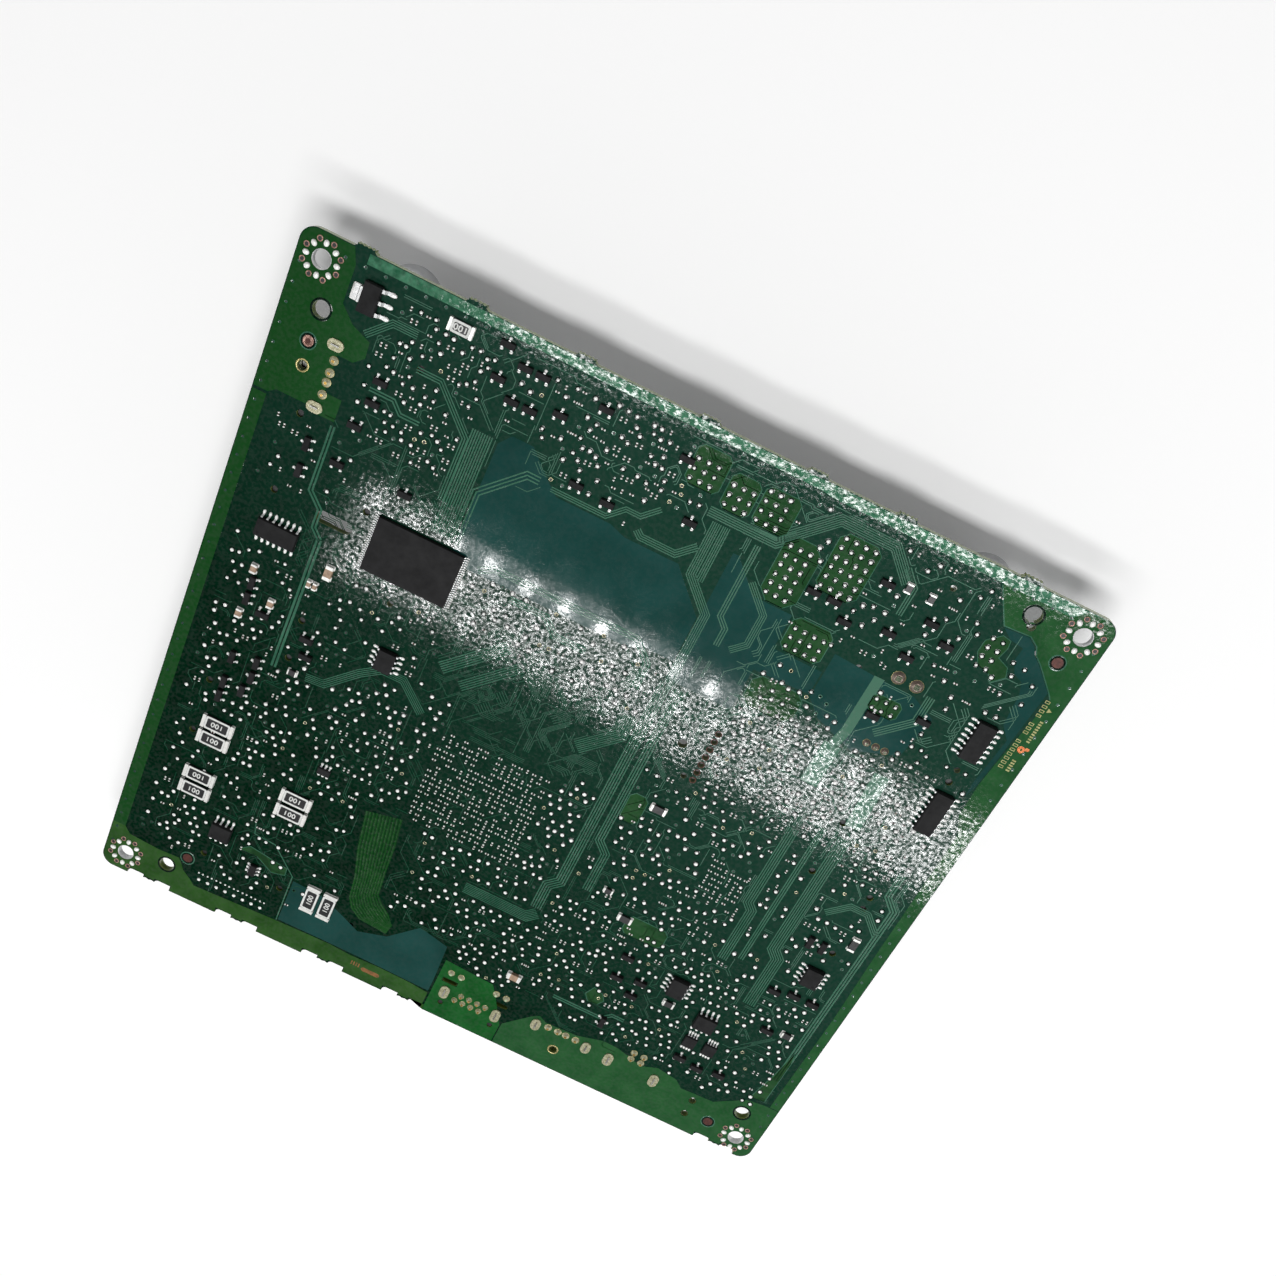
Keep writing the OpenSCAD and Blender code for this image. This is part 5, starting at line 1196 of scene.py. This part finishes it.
# %% Fields of dots
FIELDS = [
    (-77, -65, -58, 16, 2.1, 0.54, 0.12, 0.08), (-77.5, 27, -60, 44, 2.1, 0.32, 0.2, 0.1),
    (-65, 44, -42, 72, 1.7, 0.52, 0.34, 0.06), (-37, 58, -21, 72, 1.9, 0.42, 0.24, 0.12),
    (-24, 60, -2, 74, 1.7, 0.5, 0.34, 0.08), (-25, 52, 4, 60, 1.9, 0.5, 0.24, 0.08),
    (38, 48, 66, 73, 2.2, 0.3, 0.26, 0.12), (28, 38, 64, 50, 2.2, 0.24, 0.16, 0.12),
    (64, 50, 76, 66, 2.3, 0.3, 0.1, 0.1), (28, 6, 76, 38, 2.05, 0.44, 0.2, 0.14),
    (-30, 17, 12, 31, 2.4, 0.4, 0.08, 0.16), (12, -28, 36, 8, 2.15, 0.44, 0.12, 0.12),
    (36, -28, 64, 6, 2.1, 0.46, 0.22, 0.14), (62, -40, 77, 10, 2.1, 0.46, 0.2, 0.1),
    (-18, -54, 12, -31, 2.2, 0.44, 0.12, 0.12), (-58, -30, -30, 2, 2.1, 0.48, 0.16, 0.1),
    (-58, 2, -30, 17, 2.3, 0.3, 0.12, 0.12), (-58, -66, -30, -30, 2.3, 0.4, 0.1, 0.1),
    (-35, -31, -24, 0, 2.2, 0.46, 0.08, 0.08), (2, -31, 12, -3, 2.0, 0.6, 0.08, 0.1),
    (0, -61, 45, -30, 2.1, 0.5, 0.14, 0.1), (44, -63, 77.5, -28, 2.1, 0.54, 0.14, 0.1),
    (-14, 60, 6, 64, 2.0, 0.3, 0.2, 0.2), (-29, -58, -2, -54, 3.5, 0.3, 0.0, 0.1),
    (12, 60, 30, 76, 2.4, 0.1, 0.05, 0.2), (36, -60, 50, -50, 2.1, 0.3, 0.3, 0.1),
]


def field(x0, y0, x1, y1, spacing, drops, pairs, vias):
    rows, columns = int((y1 - y0) / spacing), int((x1 - x0) / spacing)
    for row in range(rows + 1):
        for column in range(columns + 1):
            x = x0 + spacing * (column + 0.5 * (row % 2)) + rng.uniform(-0.45, 0.45)
            y = y0 + spacing * row + rng.uniform(-0.45, 0.45)
            kind, upright = rng.random(), rng.random() < 0.6
            if not (x0 <= x <= x1 and y0 <= y <= y1) or not top_room.free(x, y, 0.45):
                continue
            if kind < drops:
                big_drop(x, y)
            elif kind < drops + pairs:
                chip_pair(x, y, upright)
                if top_room.free(x + 1.0, y, 0.3) and rng.random() < 0.5:
                    chip_pair(x + 1.0, y, upright)
            elif kind < drops + pairs + vias:
                rings = hole_vias if rng.random() < 0.25 else masked_vias
                open_via(x, y, 0.44, 0.26, TOP, rings)
                top_room.take(x, y, 0.5)


print("fields:", len(FIELDS))

# %% [markdown]
# Some dots aren't random at all. The processors' small capacitors stand in regular ranks behind their
# ball grids, and the supply islands carry even grids of drops. These come first, so that the fields
# fill only what is left between them.

# %% Ranks, grids and then the fields
GRID_PITCH = 2.05
GRIDS = [(-1, 66, 4.4, 72), (7, 64.4, 11.4, 70.2), (13.6, 64.4, 19.2, 70.6), (21.7, 52.6, 27.2, 63.4),
         (30.2, 58.6, 36.6, 69), (30.2, 44.4, 36.6, 50), (63.8, 58, 66.2, 65), (51, 40.8, 55.4, 43.2)]
ROW_PITCH = 2.18


def lattice(x0, y0, x1, y1, pitch_x, pitch_y):
    """The points of a regular grid inside a box, row by row."""
    for row in range(int((y1 - y0) / pitch_y) + 1):
        for column in range(int((x1 - x0) / pitch_x) + 1):
            yield x0 + pitch_x * column, y0 + pitch_y * row


def ranks(x0, y0, x1, y1, pitch_x, pitch_y, share):
    for x, y in lattice(x0, y0, x1, y1, pitch_x, pitch_y):
        if rng.random() < share and top_room.free(x, y, 0.3):
            chip_pair(x, y, rng.random() < 0.25)


ranks(-22.6, -29.6, 1.4, -5, 1.57, 1.45, 0.8)
ranks(40.2, -16.5, 49.7, -6, 1.55, 1.5, 0.75)
ranks(29.7, -35.5, 35.0, -32.5, 2.65, 3, 1.0)
for grid in GRIDS:
    for x, y in lattice(*grid, GRID_PITCH, GRID_PITCH):
        big_drop(x, y)
for step in range(8):
    x = -60.25 + ROW_PITCH * step
    small_drops.add(*dome(x, -70.1, TOP + SKIN, 0.42, 0.25, 10))
    for twin in (-0.5, 0.5):
        small_drops.add(*dome(x + twin, -68.3, TOP + SKIN, 0.24, 0.18, 8))
for area in FIELDS:
    field(*area)
print("dots:", len(dot_places))

# %% [markdown]
# Thin traces run between the dots in bundles. A small router draws them: it starts at a free cell,
# walks straight ahead, turns by 45 degrees where it's blocked or now and then by chance, and stops
# when it's stuck. Each strip marks its own cells, so no two strips cross.

# %% A small router for the thin traces
HEADINGS = [(1, 0), (1, 1), (0, 1), (-1, 1), (-1, 0), (-1, -1), (0, -1), (1, -1)]
MIN_CELLS = 6


def walk(room, column, row, heading, length, twist):
    """A free path from a cell, as the corners that it turns at, or None if it's short."""
    corners = [(column, row)]
    own = {row * room.columns + column}
    for step in range(length):
        wish = heading
        if step > 3 and twist > rng.random():
            wish = (heading + rng.choice((-1, 1))) % 8
        for turn in (wish, (wish + 1) % 8, (wish - 1) % 8):
            dc, dr = HEADINGS[turn]
            c, r = column + dc, row + dr
            cell = r * room.columns + c
            if room.inside(c, r) and not room.taken[cell] and cell not in own:
                break
        else:
            break
        if turn != heading:
            corners.append((column, row))
            heading = turn
        column, row = c, r
        own.add(cell)
    if len(own) < MIN_CELLS:
        return None
    corners.append((column, row))
    for i in own:
        room.taken[i] = 1
    return corners


print("headings:", len(HEADINGS))

# %% [markdown]
# A bundle starts a few walks side by side, and each walk becomes a ribbon. Every area of the card gets
# its own number of bundles, because the traces are denser near the processor and the memory.

# %% Bundles of thin traces
TRACE_WIDTH = 0.17
thin_traces = Pile()


def bundle(room, pile, z, x, y, heading, count, length):
    """Adds strips that set off side by side to a pile at the height z; returns how many."""
    routed = 0
    column, row = room.cell(x, y)
    dc, dr = HEADINGS[(heading + 2) % 8]
    for strand in range(count):
        c, r = column + dc * strand, row + dr * strand
        if not room.inside(c, r) or room.taken[r * room.columns + c]:
            continue
        corners = walk(room, c, r, heading, length - rng.randrange(4), 0.04)
        if corners:
            route = [room.place(*corner) for corner in corners]
            route = [p for i, p in enumerate(route) if i == 0 or p != route[i - 1]]
            pile.add(*ribbon(route, TRACE_WIDTH, z, COPPER))
            routed += 1
    return routed


# Areas for the router: x0, y0, x1, y1, how many bundles, strips in each, length in cells
ROUTED = [(-30, 2, 12, 20, 90, 7, 30), (-60, 22, -30, 58, 60, 4, 40), (-76, -62, -30, 20, 240, 3, 34),
          (-35, -34, 14, 2, 120, 4, 26), (12, -34, 78, 38, 300, 3, 36), (-20, -60, 45, -30, 150, 3, 30),
          (40, -62, 78, -28, 120, 3, 34), (-36, 50, 14, 74, 110, 3, 30), (14, 38, 78, 74, 170, 3, 34),
          (-66, 44, -36, 73, 110, 3, 30), (-60, -66, -30, -46, 40, 3, 24)]
strips_laid = 0
for x0, y0, x1, y1, starts, strips, length in ROUTED:
    for start in range(starts):
        heading = rng.choice((0, 2, 4, 6, 0, 2, 4, 6, 1, 3, 5, 7))
        strips_laid += bundle(top_room, thin_traces, TOP, rng.uniform(x0, x1), rng.uniform(y0, y1),
                              heading, rng.randint(1, strips), rng.randint(length // 3, length))
thin_traces.piece("thin_traces", trace_green, "laminate")
print("routed strips:", strips_laid)

# %% [markdown]
# A row of small printed marks stands along the right edge, with a finer row beside it. Two spots of
# the copper lost their mask: a round one among the marks, and a worn strip near the front edge.

# %% Marks and worn spots
marks = Pile()
# Columns of marks: x, first y, how many, pitch, length along x, width along y
MARK_COLUMNS = [(79.1, 41.6, 7, 1.06, 1.0, 0.62), (79.3, 50.2, 3, 1.0, 1.0, 0.62),
                (79.5, 54.4, 4, 1.06, 1.0, 0.62), (80.7, 41.4, 5, 0.6, 0.8, 0.34),
                (80.8, 48.6, 9, 0.6, 0.7, 0.34)]
MARK_LINE = 0.14
for x, y_from, count, pitch, long, wide in MARK_COLUMNS:
    for step in range(count):
        y = y_from + pitch * step
        inner = centred(x, y, long / 2 - MARK_LINE, wide / 2 - MARK_LINE)
        holes = [inner] if wide > 0.5 else []
        marks.add(*plate(centred(x, y, long / 2, wide / 2), holes, TOP + COPPER + 0.002, 0.02))
marks.add(*slab([(80.4, 55.6), (81.3, 56.1), (80.4, 56.6)], TOP + COPPER + 0.002, 0.02))
marks.piece("edge_marks", yellow_print, "laminate")
spots = Pile()
spots.add(*ring(80.6, 46.5, TOP + COPPER, 0.78, 0.22, 0.02, 16))
spots.add(*slab(rectangle(81.2, 46.7, 82, 47.4, 0.15), TOP + COPPER, 0.02))
spots.piece("bare_spot", bare_copper, "solder")
worn = Pile()
for step in range(4):
    worn.add(*slab(rectangle(-20.9 + 0.6 * step, -73.7, -20.6 + 0.6 * step, -72.6), TOP + COPPER, 0.006))
worn.add(*slab(rectangle(-18.2, -74.2, -13.6, -73.1, 0.4), TOP + COPPER, 0.006))
worn.piece("worn_strip", worn_copper, "laminate")

# %% [markdown]
# The collectors are full by now, so each one becomes a piece with its own finish. Round solder is
# shaded smooth, because its facets would show in the reflections; flat patches keep their edges.

# %% Collectors into pieces
windows.piece("mask_windows", clearance_green, "laminate")
big_drops.piece("big_solder_drops", solder, "solder", smooth=True)
small_drops.piece("small_solder_drops", solder, "solder", smooth=True)
chip_bits.piece("tiny_chip_parts", tiny_body, "ceramic")
pads.piece("pin_pads", pin_gold, "solder", smooth=True)
fiducial_discs.piece("fiducials", dull_copper, "solder")
fiducial_rims.piece("fiducial_rims", pale_green, "laminate")
hole_drops.piece("earth_drops", solder, "solder", smooth=True)
hole_vias.piece("open_vias", flux_solder, "solder", smooth=True)
earth_vias.piece("earth_vias", via_copper, "solder", smooth=True)
masked_vias.piece("masked_vias", trace_green, "laminate")
header_rings.piece("header_rings", dull_copper, "solder", smooth=True)
# The mouths of the open vias are black discs: painted shade for the holes.
via_hole_shade.piece("via_mouths_painted_shade", black_plastic, "laminate")
barrels.piece("hole_linings", lead_tin, "solder", smooth=True)

# %% [markdown]
# The other face of the card carries the tall parts. Their outlines are printed in white, so that each
# part finds its place, and the traces run between them. The same map and router serve this face: the
# map is told about every solid that touches it.

# %% The face with the tall parts
OUTLINE_GAP = 0.5
OUTLINE_LINE = 0.26
under_room = Room()
outlines, under_traces, under_vias = Pile(), Pile(), Pile()
outlined = 0
for node in sorted(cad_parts):
    if node == "circuit_board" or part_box(node)[1].z / MM > UNDER + 0.3:
        continue
    for low, high in solids_in(node):
        if high.z < UNDER - 1.3:
            continue
        under_room.take_box(low.x - 0.6, low.y - 0.6, high.x + 0.6, high.y + 0.6)
        on_card = max(abs(low.x), abs(high.x)) < HALF_W - 2 and low.y > 4 - HALF_D and high.y < HALF_D - 3
        if on_card and min(high.x - low.x, high.y - low.y) > 3:
            inner = box_round(low, high, OUTLINE_GAP - OUTLINE_LINE)
            outlines.add(*plate(box_round(low, high, OUTLINE_GAP), [inner], UNDER - 0.02, 0.02))
            outlined += 1
for x, y, radius in OPEN_HOLES:
    under_room.take(x, y, radius + 1)
for x, y in PEG_HOLES + HEADER_HOLES:
    under_room.take(x, y, 1.6)
for start in range(620):
    heading = rng.choice((0, 2, 4, 6, 1, 3, 5, 7))
    bundle(under_room, under_traces, UNDER - COPPER, rng.uniform(-78, 78), rng.uniform(-70, 73), heading,
           rng.randint(1, 4), rng.randint(12, 40))
for start in range(700):
    x, y = rng.uniform(-79, 79), rng.uniform(-71, 74)
    if under_room.free(x, y, 0.5):
        under_vias.add(*ring(x, y, UNDER - 0.04, 0.36, 0.18, 0.04, 12))
        under_room.take(x, y, 0.6)
outlines.piece("part_outlines", white_print, "laminate")
under_traces.piece("under_traces", trace_green, "laminate")
under_vias.piece("under_vias", trace_green, "laminate")
print("outlines:", outlined)

# %% [markdown]
# The card lies on its parts on a white table. White paper under soft light looks almost as bright as
# the sky, so the table's diffuse white gets a slight glow. Only rays from the eye, from a glossy
# surface or through glass see the glow, so it doesn't light the card from below.

# %% Table
table_material = bpy.data.materials.new("table")
table_material.use_nodes = True
nodes, links = table_material.node_tree.nodes, table_material.node_tree.links
nodes.clear()
paper = nodes.new("ShaderNodeBsdfDiffuse")
paper.inputs["Color"].default_value = (0.97, 0.97, 0.97, 1)
glow = nodes.new("ShaderNodeEmission")
glow.inputs["Color"].default_value = (1, 1, 1, 1)
path = nodes.new("ShaderNodeLightPath")
sight = path.outputs
direct = combine(nodes, links, "MAXIMUM", sight["Is Camera Ray"], sight["Is Glossy Ray"])
seen = combine(nodes, links, "MAXIMUM", direct, sight["Is Transmission Ray"])
links.new(combine(nodes, links, "MULTIPLY", seen, 0.12), glow.inputs["Strength"])
both = nodes.new("ShaderNodeAddShader")
links.new(paper.outputs["BSDF"], both.inputs[0])
links.new(glow.outputs["Emission"], both.inputs[1])
links.new(both.outputs["Shader"], nodes.new("ShaderNodeOutputMaterial").inputs["Surface"])

table_mesh = bpy.data.meshes.new("table")
TABLE_REACH = 2.0
table_mesh.from_pydata([(x, y, 0) for x, y in centred(0, 0, TABLE_REACH, TABLE_REACH)], [], [(0, 1, 2, 3)])
table_mesh.materials.append(table_material)
table = bpy.data.objects.new("table", table_mesh)
bpy.context.scene.collection.objects.link(table)
print("table:", 2 * TABLE_REACH, "m wide")

# %% [markdown]
# Glossy mask mirrors whatever hangs above it. A long ceiling panel behind the far edge draws the
# bright band over the card. It's built from a wide soft lamp, a fainter one that continues it, and
# rows of tiny bright cells, like the grid of a real panel, which give the band its sparkle. A broad
# lamp overhead fills the rest. A lamp's aim has the same x as its place, because the lamp would
# otherwise roll about its own axis.

# %% Lamps
def lamp(name, place, size, power, aim, turn=0.0):
    """A flat lamp at place that faces the point aim."""
    light = bpy.data.lights.new(name, "AREA")
    light.shape = "RECTANGLE"
    light.size, light.size_y = size
    light.energy = power
    thing = bpy.data.objects.new(name, light)
    towards = (Vector(aim) - Vector(place)).to_track_quat("-Z", "Y").to_matrix().to_4x4()
    twist = Matrix.Rotation(math.radians(turn), 4, "Z")
    thing.matrix_world = Matrix.Translation(place) @ twist @ towards
    bpy.context.scene.collection.objects.link(thing)


PANEL_HEIGHT = 0.571
PANEL_TURN = -3.5
lamp("lamp_panel", (0.0725, -0.2453, PANEL_HEIGHT), (0.525, 0.064), 0.42, (0.0725, 0.02, 0.015), PANEL_TURN)
lamp("lamp_panel_right", (0.2535, -0.2563, PANEL_HEIGHT), (0.143, 0.056), 0.06, (0.2535, 0.02, 0.015),
     PANEL_TURN)
lamp("ceiling_lamp", (0.13, -0.07, 1.0), (0.7, 0.16), 5.6, (0.13, -0.04, 0))
CELL_ROWS = 3
CELLS_IN_ROW = 17
CELL_PITCH = 0.0296
for row in range(CELL_ROWS):
    for step in range(CELLS_IN_ROW):
        x = -0.1716 + CELL_PITCH * (step + 0.5 * (row % 2))
        y = -0.2065 - 0.024 * row - 0.068 * (x + 0.17)
        lamp("panel_cell_%d_%d" % (row, step), (x, y, PANEL_HEIGHT), (0.006, 0.006), 0.012,
             (x, y + 0.26, 0.015))
print("lamps:", len(bpy.data.lights))

# %% [markdown]
# The room gives even light that is brightest near the horizon. So the table stays white, while the
# mask, which mirrors the dim zenith, keeps its depth. Two Map Range nodes on the direction of the ray
# do that: one fades with height, the other from the far side of the room to the near one.

# %% Light of the room
world = bpy.data.worlds.new("room")
bpy.context.scene.world = world
world.use_nodes = True
nodes, links = world.node_tree.nodes, world.node_tree.links
apart = nodes.new("ShaderNodeSeparateXYZ")
links.new(nodes.new("ShaderNodeTexCoord").outputs["Generated"], apart.inputs["Vector"])
fade = spread(nodes, links, apart.outputs["Z"], 0.1, 0.5, 1.35, 0.12)
fade.node.interpolation_type = "SMOOTHSTEP"
lean = spread(nodes, links, apart.outputs["Y"], -0.7, 0.7, 1.5, 0.4)
strength = combine(nodes, links, "MULTIPLY", fade, lean)
nodes["Background"].inputs["Color"].default_value = (1, 1, 1, 1)
links.new(strength, nodes["Background"].inputs["Strength"])
bpy.context.scene.view_settings.view_transform = "Standard"
print("world:", world.name)

# %% [markdown]
# The view is from above and behind, so the ports point away. The camera's turn about its own axis is
# set by building its three directions from the line of sight.

# %% Camera
EYE = Vector((-6.72, 127.18, 230.72)) * MM
AIM = Vector((4.07, 32.2, 15.1)) * MM
ROLL = math.radians(-159.96)
forward = (AIM - EYE).normalized()
level = forward.cross(Vector((0, 0, 1))).normalized()
steep = level.cross(forward)
across = math.cos(ROLL) * level + math.sin(ROLL) * steep
upward = across.cross(forward)
camera_data = bpy.data.cameras.new("camera")
camera_data.lens = 33.8
camera_data.sensor_width = 36
camera_data.clip_start = 0.01
camera = bpy.data.objects.new("camera", camera_data)
camera.matrix_world = Matrix.Translation(EYE) @ Matrix((across, upward, -forward)).transposed().to_4x4()
bpy.context.scene.collection.objects.link(camera)
bpy.context.scene.camera = camera
print("right:", [round(v, 3) for v in across], "down:", [round(-v, 3) for v in upward])

# %% [markdown]

# %% The end
print("scene built")
